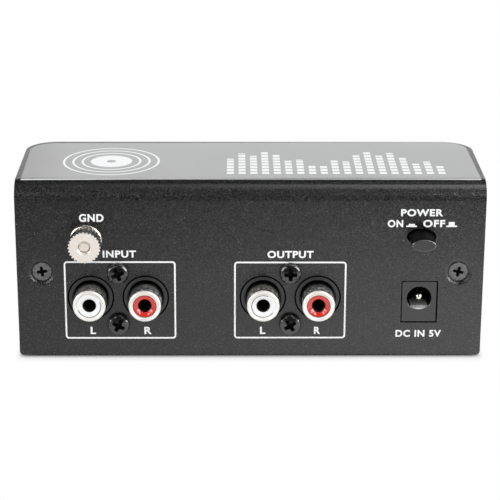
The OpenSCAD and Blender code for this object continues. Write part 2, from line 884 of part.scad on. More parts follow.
// A turned nut with straight knurling and a countersunk mouth.
module thumb_nut() {
    l = nut_reach + nut_back;
    color("#dfd8cc") in_case() outward(ground_x, ground_z, nut_back) difference() {
        union() {
            cylinder(h = nut_hub_l + eps, r = nut_hub_r);
            intersection() {
                translate([0, 0, nut_hub_l]) linear_extrude(height = l - nut_hub_l) polygon([
                    for (k = [0:2 * nut_teeth - 1])
                        let (a = 180 * k / nut_teeth, q = k % 2 == 0 ? nut_r : nut_r - nut_tooth)
                        [q * cos(a), q * sin(a)]
                ]);
                rotate_extrude() polygon([
                    [0, 0],
                    [nut_r - nut_bevel, nut_hub_l],
                    [nut_r + eps, nut_hub_l + nut_bevel],
                    [nut_r + eps, l - nut_bevel],
                    [nut_r - nut_bevel, l],
                    [0, l]
                ]);
            }
        }
        translate([0, 0, -1]) cylinder(h = l + 2, r = stud_r + nut_clearance);
        translate([0, 0, l - 0.4]) cylinder(h = 0.4 + eps, r1 = stud_r + nut_clearance, r2 = stud_r + 0.4);
    }
}

module ground_lug() {
    color("#c9c6bd") in_case() difference() {
        union() {
            rod(ground_x, ground_z, 3.2, sheet, sheet + lug_t);
            slab([ground_x, ground_x + 7], [sheet, sheet + lug_t], [ground_z - 1.2, ground_z + 1.2]);
            translate([ground_x + 6, wire_y, ground_z]) rotate([0, 90, 0])
                cylinder(h = lug_tail - 6, r = barrel_r);
        }
        rod(ground_x, ground_z, stud_r, 0, 4);
        translate([ground_x + 5.5, wire_y, ground_z]) rotate([0, 90, 0])
            cylinder(h = lug_tail, r = wire_r);
        slab([ground_x + 5, ground_x + 6.5], [sheet + lug_t, 5], [ground_z - 2, ground_z + 2]);
    }
}

module ground_lock_nut() {
    color(nickel) in_case() difference() {
        inward(ground_x, ground_z, sheet + lug_t) cylinder(h = lock_nut_t, r = lock_nut_r, $fn = 6);
        rod(ground_x, ground_z, stud_r, 0, 6);
    }
}

module ground_wire() {
    color("#2f7d3c") in_case() swept_tube(smooth(wire_route, 4), wire_r, 8, [1, -1, 0.2]);
}

// ---------- Boards and their parts ----------

module main_board() {
    color("#1f6b3a") in_case() difference() {
        slab([-board_half_w, board_half_w], [board_near, board_far], [board_under, board_top]);
        for (x = [input_x, output_x]) {
            slab([x - rib_half_w - 0.6, x + rib_half_w + 0.6], [0, 9.6], [0, 12]);
        }
        for (p = through_leads) translate([p.x, p.y, 0]) cylinder(h = 12, r = lead_r + drill_gap);
        for (x = jack_x) {
            translate([x, shell_end + tail_r, 0]) cylinder(h = 12, r = tail_r + drill_gap);
            slab(
                [x - blade_w / 2 - drill_gap, x + blade_w / 2 + drill_gap],
                [insulator_end - drill_gap, insulator_end + blade_t + drill_gap],
                [0, 12]
            );
        }
        // one slot takes both tabs of the DC inlet
        slab(
            [power_x - 1.1 - drill_gap, power_x + dc_tab_x[1] + drill_gap],
            [dc_end - drill_gap, dc_end + dc_tab_t + drill_gap],
            [0, 12]
        );
        for (p = spacer_places) translate([p.x, p.y, 0]) cylinder(h = 12, r = 1.3);
    }
}

// Two leads at (0, 0), from under the board up to its parts.
module lead_pair(pitch, up) {
    for (s = [-1, 1]) translate([s * pitch / 2, 0, -board_t - lead_out])
        cylinder(h = board_t + lead_out + up, r = lead_r);
}

// A radial electrolytic capacitor: a can with a crimped groove near its foot.
module can_capacitor(place, r, h, pitch) {
    color("#1c2a4a") in_case() translate([place.x, place.y, board_top]) {
        rotate_extrude() polygon([
            [0, 0], [r, 0], [r, 1.2], [r - 0.3, 1.6], [r, 2], [r, h - 0.4], [r - 0.4, h], [0, h]
        ]);
        lead_pair(pitch, eps);
    }
}

module film_capacitors() {
    color("#b3402a") in_case() for (p = film_places) translate([p.x, p.y, board_top]) {
        translate([-film_size.x / 2, -film_size.y / 2, 0]) cube(film_size);
        lead_pair(film_pitch, eps);
    }
}

// An axial part: a body on bent leads, lying along y.
module axial_part(place, r, l, waist) {
    z = r + 0.2;
    translate([place.x, place.y, board_top]) {
        translate([0, -l / 2, z]) rotate([-90, 0, 0]) rotate_extrude() polygon([
            [0, 0], [r, 0], [r, l * 0.2], [r - waist, l * 0.3], [r - waist, l * 0.7], [r, l * 0.8], [r, l], [0, l]
        ]);
        translate([0, -resistor_pitch / 2, z]) rotate([-90, 0, 0]) cylinder(h = resistor_pitch, r = lead_r);
        rotate(90) lead_pair(resistor_pitch, z);
    }
}

module resistors() {
    color("#4a8fb0") in_case() for (p = resistor_places) axial_part(p, 1.15, 6, 0.2);
}

module supply_diode() {
    color("#222222") in_case() axial_part(diode_place, 1.3, 5, 0);
}

module op_amp() {
    size = [4.9, 3.9, 1.5];
    color("#1a1a1b") in_case() translate([op_amp_place.x, op_amp_place.y, board_top]) {
        translate([-size.x / 2, -size.y / 2, 0.1]) cube(size);
        for (i = [-1.5:1.5]) for (s = [-1, 1]) translate([i * 1.27 - 0.2, 0, 0]) mirror([0, s < 0 ? 1 : 0, 0]) {
            translate([0, size.y / 2 - eps, 0.7]) cube([0.4, 0.5, 0.2]);
            translate([0, size.y / 2 + 0.3, 0]) cube([0.4, 0.2, 0.9]);
            translate([0, size.y / 2 + 0.3, 0]) cube([0.4, 0.75, 0.2]);
        }
    }
}

// A 3 mm light whose dome stands in the far wall, on leads bent down to the board.
module power_light() {
    flange_y = case_d - sheet - 0.8;
    color("#b8e0f0") in_case() {
        rod(light_place.x, light_z, light_r, flange_y, case_d + light_out - light_r);
        translate([light_place.x, case_d + light_out - light_r, light_z]) sphere(r = light_r);
        rod(light_place.x, light_z, light_r + 0.4, flange_y, case_d - sheet);
        for (s = [-1, 1]) translate([light_place.x + s * light_pitch / 2, 0, 0]) {
            translate([0, light_place.y, light_z]) rotate([-90, 0, 0])
                cylinder(h = flange_y - light_place.y + eps, r = lead_r);
            translate([0, light_place.y, board_under - lead_out])
                cylinder(h = light_z - board_under + lead_out, r = lead_r);
        }
    }
}

// ---------- Nodes ----------

case_cover();
case_wrap();
base_plate();
top_label();
for (i = [0:3]) foot(i);
case_screws();
base_screws();
board_spacers();
board_screws();
jack_housing(input_x);  // input_housing
jack_housing(output_x);  // output_housing
jack_screws();
for (i = [0:3]) jack_shell(jack_x[i]);
for (i = [0:3]) jack_insulator(i);
for (i = [0:3]) jack_contact(jack_x[i]);
dc_housing();
dc_pin();
dc_spring();
power_button();
switch_plunger();
switch_housing();
switch_spring();
latch_pin();
switch_terminals();
switch_board();
board_header();
ground_stud();
ground_collar();
clamp_washer();
thumb_nut();
ground_lock_nut();
ground_lug();
ground_wire();
main_board();
op_amp();
for (i = [0:3]) union() {
    can_capacitor(cap_places[i], cap_r, cap_h, cap_pitch);
}
for (i = [0:1]) union() {
    can_capacitor(supply_places[i], supply_r, supply_h, supply_pitch);
}
film_capacitors();
resistors();
supply_diode();
power_light();
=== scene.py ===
# %% [markdown]
# # Dressing a phono preamp
# A phono preamp is a small steel box that lifts the faint signal of a record player. This lesson
# takes its solid model as a fixed frame and gives it the looks of the real thing: grained powder
# coat, printed legends, nickel-plated jacks, glossy screws and a foil label.
# The frame is loaded first, because every piece below takes its place from it.

# %% Load the solid model
import json
import math

import bmesh
import bpy
from mathutils import Matrix, Vector


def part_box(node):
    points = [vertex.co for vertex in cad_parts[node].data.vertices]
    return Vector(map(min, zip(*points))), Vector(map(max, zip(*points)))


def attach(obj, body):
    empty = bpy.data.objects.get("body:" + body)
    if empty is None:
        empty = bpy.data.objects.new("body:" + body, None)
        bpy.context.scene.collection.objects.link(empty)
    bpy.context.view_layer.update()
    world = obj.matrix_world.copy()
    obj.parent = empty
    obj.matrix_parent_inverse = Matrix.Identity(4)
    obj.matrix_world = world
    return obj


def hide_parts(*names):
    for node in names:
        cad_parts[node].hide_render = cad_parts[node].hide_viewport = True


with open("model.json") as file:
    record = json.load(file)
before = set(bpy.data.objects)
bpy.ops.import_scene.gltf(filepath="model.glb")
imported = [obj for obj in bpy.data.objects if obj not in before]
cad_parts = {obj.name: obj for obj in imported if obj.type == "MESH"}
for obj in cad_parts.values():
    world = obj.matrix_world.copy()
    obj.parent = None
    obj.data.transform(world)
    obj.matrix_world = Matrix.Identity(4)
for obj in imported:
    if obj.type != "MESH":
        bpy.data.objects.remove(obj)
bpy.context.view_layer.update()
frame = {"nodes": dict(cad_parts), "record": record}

nodes = frame["nodes"]

# %% [markdown]
# The case has measures of its own: x across its width, y into it from the jack wall's outer face
# and z up from its lower edge, all in millimetres. Two steps lead from there to the frame, and
# writing them down once keeps every later number readable. The rows that several pieces share are
# named here too.

# %% Places on the case, in millimetres
WALL_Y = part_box("case_cover")[0].y * 1000
FOOT_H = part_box("case_cover")[0].z * 1000
JACKS = {"input_left": -40.7, "input_right": -26.7, "output_left": 3.2, "output_right": 17.2}
JACK_Z = 15.8
GROUND_X, GROUND_Z = -41.6, 31.3
POWER_X, PLUNGER_Z = 43.25, 30.3
BUTTON = (POWER_X, 0, 32.2)


def at(x, y, z):
    """A place on the case, as a point of the frame in metres."""
    return Vector((x, y + WALL_Y, z + FOOT_H)) / 1000


def off_axis(point, axis):
    """How far a point lies from an axis that runs into the wall, in millimetres."""
    return (point - axis).xz.length * 1000


print("jack wall at y", round(WALL_Y, 2), "mm, case's lower edge at z", round(FOOT_H, 2), "mm")

# %% [markdown]
# A product view is taken from a little above, through a long lens, so that the box stays nearly
# square. The camera looks 19 degrees down and a touch to the right. Its axes are built by hand
# from those angles, which avoids a tracking constraint and keeps the small roll.

# %% Camera
HEADING, DOWN, ROLL = 0.643, 18.876, 0.206  # degrees
STAND = (-5.089, -441.91, 179.735)
camera_data = bpy.data.cameras.new("camera")
camera_data.sensor_width = 36
camera_data.lens = 132.77
camera_data.clip_start = 0.01
camera = bpy.data.objects.new("camera", camera_data)
bpy.context.scene.collection.objects.link(camera)

heading, down, roll = (math.radians(a) for a in (HEADING, DOWN, ROLL))
level = Vector((math.cos(heading), -math.sin(heading), 0))
ahead = Vector((math.sin(heading), math.cos(heading), 0))
forward = math.cos(down) * ahead + Vector((0, 0, -math.sin(down)))
upright = level.cross(forward)
side = math.cos(roll) * level + math.sin(roll) * upright
top = -math.sin(roll) * level + math.cos(roll) * upright
turn = Matrix((side, top, -forward)).transposed()
camera.matrix_world = Matrix.Translation(at(*STAND)) @ turn.to_4x4()
bpy.context.scene.camera = camera
bpy.context.scene.view_settings.view_transform = "Standard"
print("camera at", [round(c, 3) for c in camera.location], "lens", camera_data.lens)

# %% [markdown]
# Every material below is a graph of nodes, and most of it is arithmetic. A small class lets that
# arithmetic be written as such: a Term is an output of a node, and adding, multiplying or
# comparing Terms makes the Math nodes that do so.

# %% Node helpers for materials
def feed(node, socket, value):
    """Gives an input, by name or number, a number, a colour or another node's output."""
    if isinstance(value, Term):
        node.id_data.links.new(value.socket, node.inputs[socket])
    else:
        node.inputs[socket].default_value = value


def add(tree, kind, inputs=None, out=0, **settings):
    """A node of a kind with its settings and inputs, as one of its outputs."""
    node = tree.nodes.new("ShaderNode" + kind)
    for key, value in settings.items():
        setattr(node, key, value)
    for socket, value in (inputs or {}).items():
        feed(node, socket, value)
    return Term(node, out)


def tree_of(*values):
    """The node tree that the first Term among some values belongs to."""
    return next(value.node.id_data for value in values if isinstance(value, Term))


def calc(operation, *values):
    """A Math node over Terms and numbers."""
    return add(tree_of(*values), "Math", dict(enumerate(values)), operation=operation)


class Term:
    """An output of a node that can be reckoned with."""

    def __init__(self, node, out=0):
        self.node, self.socket = node, node.outputs[out]

    def __getitem__(self, out):
        return Term(self.node, out)

    def __add__(self, other):
        return calc("ADD", self, other)

    def __sub__(self, other):
        return calc("SUBTRACT", self, other)

    def __rsub__(self, other):
        return calc("SUBTRACT", other, self)

    def __mul__(self, other):
        return calc("MULTIPLY", self, other)

    def __truediv__(self, other):
        return calc("DIVIDE", self, other)

    def __rtruediv__(self, other):
        return calc("DIVIDE", other, self)

    def __pow__(self, other):
        return calc("POWER", self, other)

    def __lt__(self, other):
        return calc("LESS_THAN", self, other)

    def __gt__(self, other):
        return calc("GREATER_THAN", self, other)

    def vector(self, operation, *others, out=0):
        """A Vector Math node over this place or direction and others."""
        return add(tree_of(self), "VectorMath", dict(enumerate((self, *others))), out, operation=operation)

    def ramp(self, low, high, start=0.0, end=1.0, kind="LINEAR"):
        """A number that goes from start to end while this one goes from low to high."""
        inputs = {0: self, 1: low, 2: high, 3: start, 4: end}
        return add(tree_of(self), "MapRange", inputs, interpolation_type=kind)

    def step(self, *ends):
        """A ramp that sets out and arrives softly."""
        return self.ramp(*ends, kind="SMOOTHSTEP")


print("arithmetic on nodes ready")

# %% [markdown]
# A few more helpers name what the materials are made of: the three parts of a place, greys, mixed
# colours, mixed shaders and the empty material that they go into.

# %% Places, colours and shaders
def axes(place):
    """The parts of a place or direction along x, y and z."""
    parts = add(tree_of(place), "SeparateXYZ", {0: place})
    return parts[0], parts[1], parts[2]


def grey(level):
    """A colour without hue."""
    return level, level, level, 1


def mix(share, first, second, blend="MIX"):
    """Two colours, mixed or multiplied by a share of the second."""
    inputs = {0: share, 6: first, 7: second}
    return add(tree_of(share, first, second), "Mix", inputs, out=2, data_type="RGBA", blend_type=blend)


def either(share, first, second):
    """Two shaders mixed by a share of the second."""
    return add(tree_of(first), "MixShader", {0: share, 1: first, 2: second})


def new_material(name):
    """An empty node material, its tree, its output node and the place in the object's own axes."""
    material = bpy.data.materials.new(name)
    material.use_nodes = True
    tree = material.node_tree
    tree.nodes.clear()
    return material, tree, tree.nodes.new("ShaderNodeOutputMaterial"), add(tree, "TexCoord", out="Object")


print("node helpers ready")

# %% [markdown]
# The box stands on a pale sheet in a white room. The sheet is lit like any surface near the
# object, so that it takes the soft shadow under the box, and it blends into plain white further
# out. Mirror rays see a glow painted on it instead: it grows towards the right as painted light,
# and it is dark under and near the box as a painted shadow. That glow lights the lower part of the jack
# wall.

# %% Sheet under the box
FLOOR_EDGE = (-0.165, -0.135)  # where the bright floor ends in front, for mirror rays
BOX_MIDDLE, BOX_HALF = (0, 0.0031, 0), (0.0592, 0.0179, 0)
SHADOW_REACH = (0.003, 0.0085, 1)


def plane(name, size, middle, material):
    """A level plane of a size round its middle."""
    bpy.ops.object.select_all(action="DESELECT")
    bpy.ops.mesh.primitive_plane_add(size=1, location=middle)
    piece = bpy.context.object
    piece.name = name
    piece.scale = (*size, 1)
    bpy.ops.object.transform_apply(location=True, rotation=True, scale=True)
    piece.data.materials.append(material)
    return piece


paper, tree, paper_out, place = new_material("paper")
outside = place.vector("SUBTRACT", BOX_MIDDLE).vector("ABSOLUTE").vector("SUBTRACT", BOX_HALF)
away = outside.vector("MAXIMUM", (0, 0, 0)).vector("DIVIDE", SHADOW_REACH).vector("LENGTH", out="Value")
fade = 1 - away.ramp(0, 1, 1, 0) ** 4
x, y, z = axes(place)
# what mirrors see of the sheet: a glow that ends at its front edge and grows to the right as painted light
bright = y.step(*FLOOR_EDGE, 0.12, 1) * x.ramp(-0.06, 0.06, 0.68, 1.33)
rays = add(tree, "LightPath")
lit = add(tree, "BsdfDiffuse", {"Color": grey(0.86)})
white = add(tree, "Emission", {"Color": grey(1), "Strength": 1.0})
# the fade paints a shadow under and near the box into that glow
mirrored = add(tree, "Emission", {"Color": grey(1), "Strength": bright * fade})
seen = either(fade * rays["Is Camera Ray"], lit, white)
feed(paper_out, 0, either(rays["Is Glossy Ray"], seen, mirrored))
sheet = plane("paper_sheet", (1.6, 1.0), (0, 0.355, 0), paper)
print("sheet size in m:", [round(c, 2) for c in sheet.dimensions])

# %% [markdown]
# Above the box hangs a wide diffuser whose light grows to the right. It is seen by mirror rays only,
# and gives the folded edge of the cover its long soft highlight.

# %% Diffuser over the box
cloth, tree, cloth_out, place = new_material("diffuser")
x, y, z = axes(place)
shining = add(tree, "Emission", {"Color": grey(1), "Strength": x.ramp(-0.13, 0.09) ** 2 * 2.7})
rays = add(tree, "LightPath")
feed(cloth_out, 0, either(rays["Is Glossy Ray"], add(tree, "BsdfTransparent"), shining))
diffuser = plane("diffuser", (0.5, 0.09), (0.05, -0.025, 0.17), cloth)
print("diffuser at", round(diffuser.dimensions.x, 2), "by", round(diffuser.dimensions.y, 2), "m")

# %% [markdown]
# The room's walls are bright behind the object and dim in front, as in a small studio, and that is
# what gives the dark coat its shading: the top mirrors the bright backdrop, the fold runs through
# the dark, and two glows at the sides of the front half light the ends of round parts.

# %% Room
AMBIENT = 1.0  # the light that falls on every surface
DARKEST = 0.015
world = bpy.data.worlds.new("room")
bpy.context.scene.world = world
world.use_nodes = True
tree = world.node_tree
tree.nodes.clear()
room_out = tree.nodes.new("ShaderNodeOutputWorld")
x, y, z = axes(add(tree, "TexCoord", out="Generated"))
backdrop = y.step(0, 0.3, 0, 1.25) * z.step(0.36, 0.5, 1, 0)
glows = x.step(0.5, 0.78, 0, 9) + x.step(-0.5, -0.78, 0, 5)
glows = glows * (z.step(0.02, 0.15) * z.step(0.65, 0.85, 1, 0)) * y.step(-0.04, -0.14)
mirrored = calc("MAXIMUM", backdrop, glows) + DARKEST
rays = add(tree, "LightPath")
mirror_ray = calc("MAXIMUM", rays["Is Glossy Ray"], rays["Is Transmission Ray"])
around = mirror_ray * (mirrored - AMBIENT) + AMBIENT
strength = rays["Is Camera Ray"] * (1 - around) + around
feed(room_out, 0, add(tree, "Background", {"Color": grey(1), "Strength": strength}))
print("room light", AMBIENT)

# %% [markdown]
# Two soft boxes stand in front, left and right of the camera, and look down on the jack wall. The
# right one is the stronger, so the coat brightens towards the lower right. In the dished faces of
# the red jacks they show as a pair of small lights.

# %% Soft boxes
AIM = (0, 0, 23)


def soft_box(name, azimuth, radiance, height=26, distance=0.6, width=0.11, tall=0.1):
    """An area lamp aimed at the middle of the jack wall. Its angles are in degrees."""
    lamp = bpy.data.lights.new(name, "AREA")
    lamp.shape = "RECTANGLE"
    lamp.size, lamp.size_y = width, tall
    lamp.energy = radiance * math.pi * width * tall
    box = bpy.data.objects.new(name, lamp)
    bpy.context.scene.collection.objects.link(box)
    a, h = math.radians(azimuth), math.radians(height)
    way = Vector((math.sin(a) * math.cos(h), -math.cos(a) * math.cos(h), math.sin(h)))
    facing = way.to_track_quat("Z", "Y").to_matrix().to_4x4()
    box.matrix_world = Matrix.Translation(at(*AIM) + distance * way) @ facing


soft_box("right_box", 30, radiance=12.5)
soft_box("left_box", -30, radiance=8.5)

# %% [markdown]
# ## Finishes
# Every finish here has a grain, and some carry dust. Both are made once, as node groups.
# Grains are tiny round pimples: two noises of different size make their height, and each cell
# also has a tone and a slope of its own. Dust is a sparse cell pattern of pale specks.

# %% Grain and dust as node groups
def new_group(name, inputs, outputs):
    """A shader node group with named sockets, {name: (type, value)}, and its two end nodes."""
    group = bpy.data.node_groups.new(name, "ShaderNodeTree")
    for label, (kind, value) in inputs.items():
        socket = group.interface.new_socket(label, in_out="INPUT", socket_type="NodeSocket" + kind)
        if value is not None:
            socket.default_value = value
    for label in outputs:
        group.interface.new_socket(label, in_out="OUTPUT", socket_type="NodeSocketFloat")
    return group, group.nodes.new("NodeGroupInput"), group.nodes.new("NodeGroupOutput")


def use_group(group, place, **values):
    """A group in the material that a place belongs to, with its own values."""
    node = tree_of(place).nodes.new("ShaderNodeGroup")
    node.node_tree = group
    feed(node, "Place", place)
    for label, value in values.items():
        feed(node, label.replace("_", " "), value)
    return Term(node)


grains, start, end = new_group(
    "grains", {"Place": ("Vector", None), "Grain mm": ("Float", 0.35)}, ["Height", "Tone", "Fleck", "Facet"]
)
place, per_metre = Term(start, "Place"), 1000 / Term(start, "Grain mm")
cells = {"Vector": place, "Scale": per_metre}
pimple = add(grains, "TexVoronoi", cells | {"Smoothness": 0.6}, feature="SMOOTH_F1")
wide = {"Vector": place, "Scale": per_metre * 0.45}
swell = add(grains, "TexNoise", wide | {"Detail": 2.0, "Roughness": 0.6})
fleck = add(grains, "TexVoronoi", cells, out="Color", feature="F1")
slope = fleck.vector("SUBTRACT", (0.5, 0.5, 0.5))
facet = place.vector("SUBTRACT", fleck["Position"]).vector("DOT_PRODUCT", slope, out="Value")
feed(end, "Height", (1 - pimple) * 0.6 + swell * 0.4)
feed(end, "Tone", swell)
feed(end, "Fleck", add(grains, "SeparateColor", {0: fleck}))
feed(end, "Facet", facet)

dust, start, end = new_group(
    "dust",
    {
        "Place": ("Vector", None), "Cell mm": ("Float", 1.6),
        "Share": ("Float", 0.25), "Speck": ("Float", 0.09),
    },
    ["Mask"],
)
cells = {"Vector": Term(start, "Place"), "Scale": 1000 / Term(start, "Cell mm")}
speck = add(dust, "TexVoronoi", cells, feature="F1")
chosen = add(dust, "SeparateColor", {0: speck["Color"]})
feed(end, "Mask", (chosen < Term(start, "Share")) * (speck < chosen[1] * Term(start, "Speck")))
print("groups:", [g.name for g in bpy.data.node_groups])

# %% [markdown]
# The powder coat is the finish that covers most of the object. Powder melts into tiny round
# grains, so the surface is black, half glossy and pimpled at a fraction of a millimetre. Each
# pimple catches the lamps at its own angle, which the eye sees as sparkle. A few grains also get a
# paler colour, as painted glints.

# %% Powder coat
def relief(height, strength=1.0, distance=1.0):
    """A bumped normal from a height."""
    return add(tree_of(height), "Bump", {"Strength": strength, "Distance": distance, "Height": height})


def powder_coat(name, colour, grain=0.2, bump=0.5, specks=0.5, rough=0.285, tilt=0.14):
    """Half-glossy black paint of melted powder, with grains, a faint unevenness, dust and a few paler
    grains as painted glints.
    """
    material, tree, out, place = new_material(name)
    pimples, powder = use_group(grains, place, Grain_mm=grain), use_group(dust, place)
    fleck = pimples["Fleck"]
    base = mix(1.0, (*colour, 1), fleck * 1.2 + 0.4, "MULTIPLY")
    # a few grains get a paler base colour: painted glints beside the sparkle of their slopes
    base_with_painted_glints = mix(fleck ** 8, base, grey(0.03))
    paint = add(tree, "BsdfPrincipled", {
        "Base Color": mix(powder * specks, base_with_painted_glints, (0.5, 0.5, 0.51, 1)),
        "Roughness": fleck * 0.12 + (rough - 0.06),
        "IOR": 1.68,
        "Normal": relief(pimples["Height"] * (bump * 0.00003) + pimples["Facet"] * tilt),
    })
    feed(out, 0, paint)
    return material


black_coat = powder_coat("black_coat", (0.002, 0.002, 0.002))
print("made", black_coat.name)

# %% [markdown]
# The other materials are simpler. They share one recipe, a plastic or metal whose gloss and tone
# vary a little with the grain, and differ in colour, roughness and how much light they throw back.

# %% Plain finishes
def plain(name, colour, rough, metallic=0.0, grain=0.25, bump=0.2, spread=0.12, specks=0.0, ior=1.5,
          specular=0.5):
    """A plastic or metal with a fine grain in its gloss and tone, and some dust."""
    material, tree, out, place = new_material(name)
    pimples, powder = use_group(grains, place, Grain_mm=grain), use_group(dust, place, Cell_mm=1.1)
    tone = pimples["Tone"]
    base = mix(1.0, (*colour, 1), tone.ramp(0.25, 0.75, 1 - spread, 1 + spread), "MULTIPLY")
    body = add(tree, "BsdfPrincipled", {
        "Base Color": mix(powder * specks, base, grey(0.6)),
        "Metallic": metallic,
        "Roughness": tone * (0.2 * rough) + 0.9 * rough,
        "IOR": ior,
        "Specular IOR Level": specular,
        "Normal": relief(pimples["Height"], bump, 0.00002),
    })
    feed(out, 0, body)
    return material


FINISHES = {
    "black_coat": black_coat,
    "rubber": plain("rubber", (0.02, 0.02, 0.02), 0.75, grain=0.2, bump=0.4),
    "black_screw": plain(
        "black_screw", (0.01, 0.01, 0.01), 0.17, specks=0.5, grain=0.5, bump=0.5, ior=1.85
    ),
    "steel_screw": plain("steel_screw", (0.6, 0.6, 0.6), 0.3, metallic=1.0),
    "black_plastic": plain("black_plastic", (0.038, 0.038, 0.038), 0.34, grain=0.12, specks=0.3),
    "nickel": plain("nickel", (0.8, 0.77, 0.72), 0.24, metallic=1.0, spread=0.05, grain=0.5),
    "white_plastic": plain("white_plastic", (0.88, 0.89, 0.9), 0.25, spread=0.01),
    "red_plastic": plain("red_plastic", (0.66, 0.034, 0.024), 0.1, spread=0.03, bump=0.05, ior=1.65),
    # spring bronze painted near-black: the sleeves in the pin holes wear it as painted shade
    "spring_bronze": plain("spring_bronze", (0.05, 0.045, 0.035), 0.5, metallic=1.0),
    "button_plastic": plain("button_plastic", (0.024, 0.024, 0.024), 0.12, grain=0.14, bump=0.1),
    "ivory_plastic": plain("ivory_plastic", (0.7, 0.68, 0.6), 0.45),
    "board_green": plain("board_green", (0.02, 0.17, 0.06), 0.3),
    "green_wire": plain("green_wire", (0.03, 0.25, 0.07), 0.4),
    "cap_sleeve": plain("cap_sleeve", (0.02, 0.03, 0.1), 0.25),
    "film_case": plain("film_case", (0.45, 0.06, 0.03), 0.3),
    "resistor_blue": plain("resistor_blue", (0.1, 0.3, 0.45), 0.35),
    "black_epoxy": plain("black_epoxy", (0.02, 0.02, 0.02), 0.5),
    "light_lens": plain("light_lens", (0.5, 0.75, 0.9), 0.1),
}
NUT_COLOUR = (0.9, 0.84, 0.78)
grained_screw = powder_coat("grained_screw", (0.11, 0.11, 0.112), grain=0.3, bump=0.4, rough=0.4)
nut_metal = plain("nut_metal", NUT_COLOUR, 0.5, metallic=0.45, spread=0.03, grain=0.16, bump=0.1)
# a darker copy of the nut's metal, for painted shade on the knurled sides
knurl_shaded_metal = plain("knurl_shaded_metal", (0.22, 0.21, 0.2), 0.35, metallic=1.0, spread=0.3, grain=0.3, bump=0.3)
leaf_metal = plain("leaf_metal", (0.5, 0.5, 0.5), 0.3, metallic=0.6, grain=0.4)
mouth_metal = plain("mouth_metal", NUT_COLOUR, 0.22, metallic=0.55, spread=0.03, grain=0.16, bump=0.1)
# a near-black material with little reflection, painted where shade falls in holes, gaps and recesses
shade = plain("shade", (0.003, 0.003, 0.003), 0.6, specular=0.1)
polished_rim = plain("polished_rim", (0.024, 0.024, 0.024), 0.1, grain=0.14, bump=0.1, ior=2.2)
white_ink = plain("white_ink", (0.97, 0.98, 0.98), 0.5, spread=0.05, grain=0.3, bump=0.3)
print("finishes for nodes:", len(FINISHES), "all materials:", len(bpy.data.materials))

# %% [markdown]
# A jack shell is nickel plate on brass. Its lip is polished by every plug and looks creamy. Its
# barrel is dull and painted a darker grey for the dark surroundings that it mirrors, and it is
# speckled with a few pale spots, painted glints that grow rarer towards the wall. Its root is
# painted near-black as painted shade of the recess. One material carries all that by its place along y.

# %% Plated shells
def plated_shell():
    """Nickel plate that is pale at the lip, dull and painted darker along the barrel with a few painted
    glints, and painted near-black at the root as shade.
    """
    material, tree, out, place = new_material("shell_plate")
    pimples, spots = (use_group(grains, place, Grain_mm=size) for size in (0.26, 0.42))
    fleck = pimples["Fleck"]
    deep = axes(place)[1] * 1000 - WALL_Y
    # pale spots: painted glints, rarer towards the wall
    bright = spots["Fleck"].ramp(0.7, 0.9) * deep.ramp(-1, -5.5, 0.25, 1)
    darkened_barrel_share = deep.step(-6.3, -5.9) * (1 - bright)
    dull = mix(1.0, (0.34, 0.33, 0.32, 1), fleck.ramp(0, 1, 0.1, 1.6), "MULTIPLY")
    along = mix(darkened_barrel_share, (0.93, 0.91, 0.87, 1), dull)
    plate = add(tree, "BsdfPrincipled", {
        # the root is painted near-black: painted shade of the recess
        "Base Color": mix(deep.step(-2.6, -0.6), along, grey(0.01)),
        "Metallic": darkened_barrel_share * 0.45 + 0.5,
        "Roughness": fleck * 0.25 + 0.3,
        "Normal": relief(pimples["Height"], 0.6, 0.00003),
    })
    feed(out, 0, plate)
    return material


shell_plate = plated_shell()
print("made", shell_plate.name)

# %% [markdown]
# The label is grey foil under a clear gloss, printed in white. Its design is drawn by arithmetic
# on the place: rings about a point on the left, like a record's grooves, and bars of changing
# length along the right, like a level meter. Both follow the foil, because it lies flat on the
# top and the place there is simply x and y.

# %% Label foil
RINGS_X, RINGS_Y, RING_STEP, RING_LINE = -36.0, 19.5, 2.4, 0.24
DISC_R, HEART_R, HOLE_R = 14.4, 4.8, 1.2
BARS_X, BARS_Y, BAR_STEP, BAR_SHARE, BAR_COUNT = -6.0, 8.0, 3.0, 0.6, 19
DOT_STEP, DOT_SHARE = 2.6, 0.74


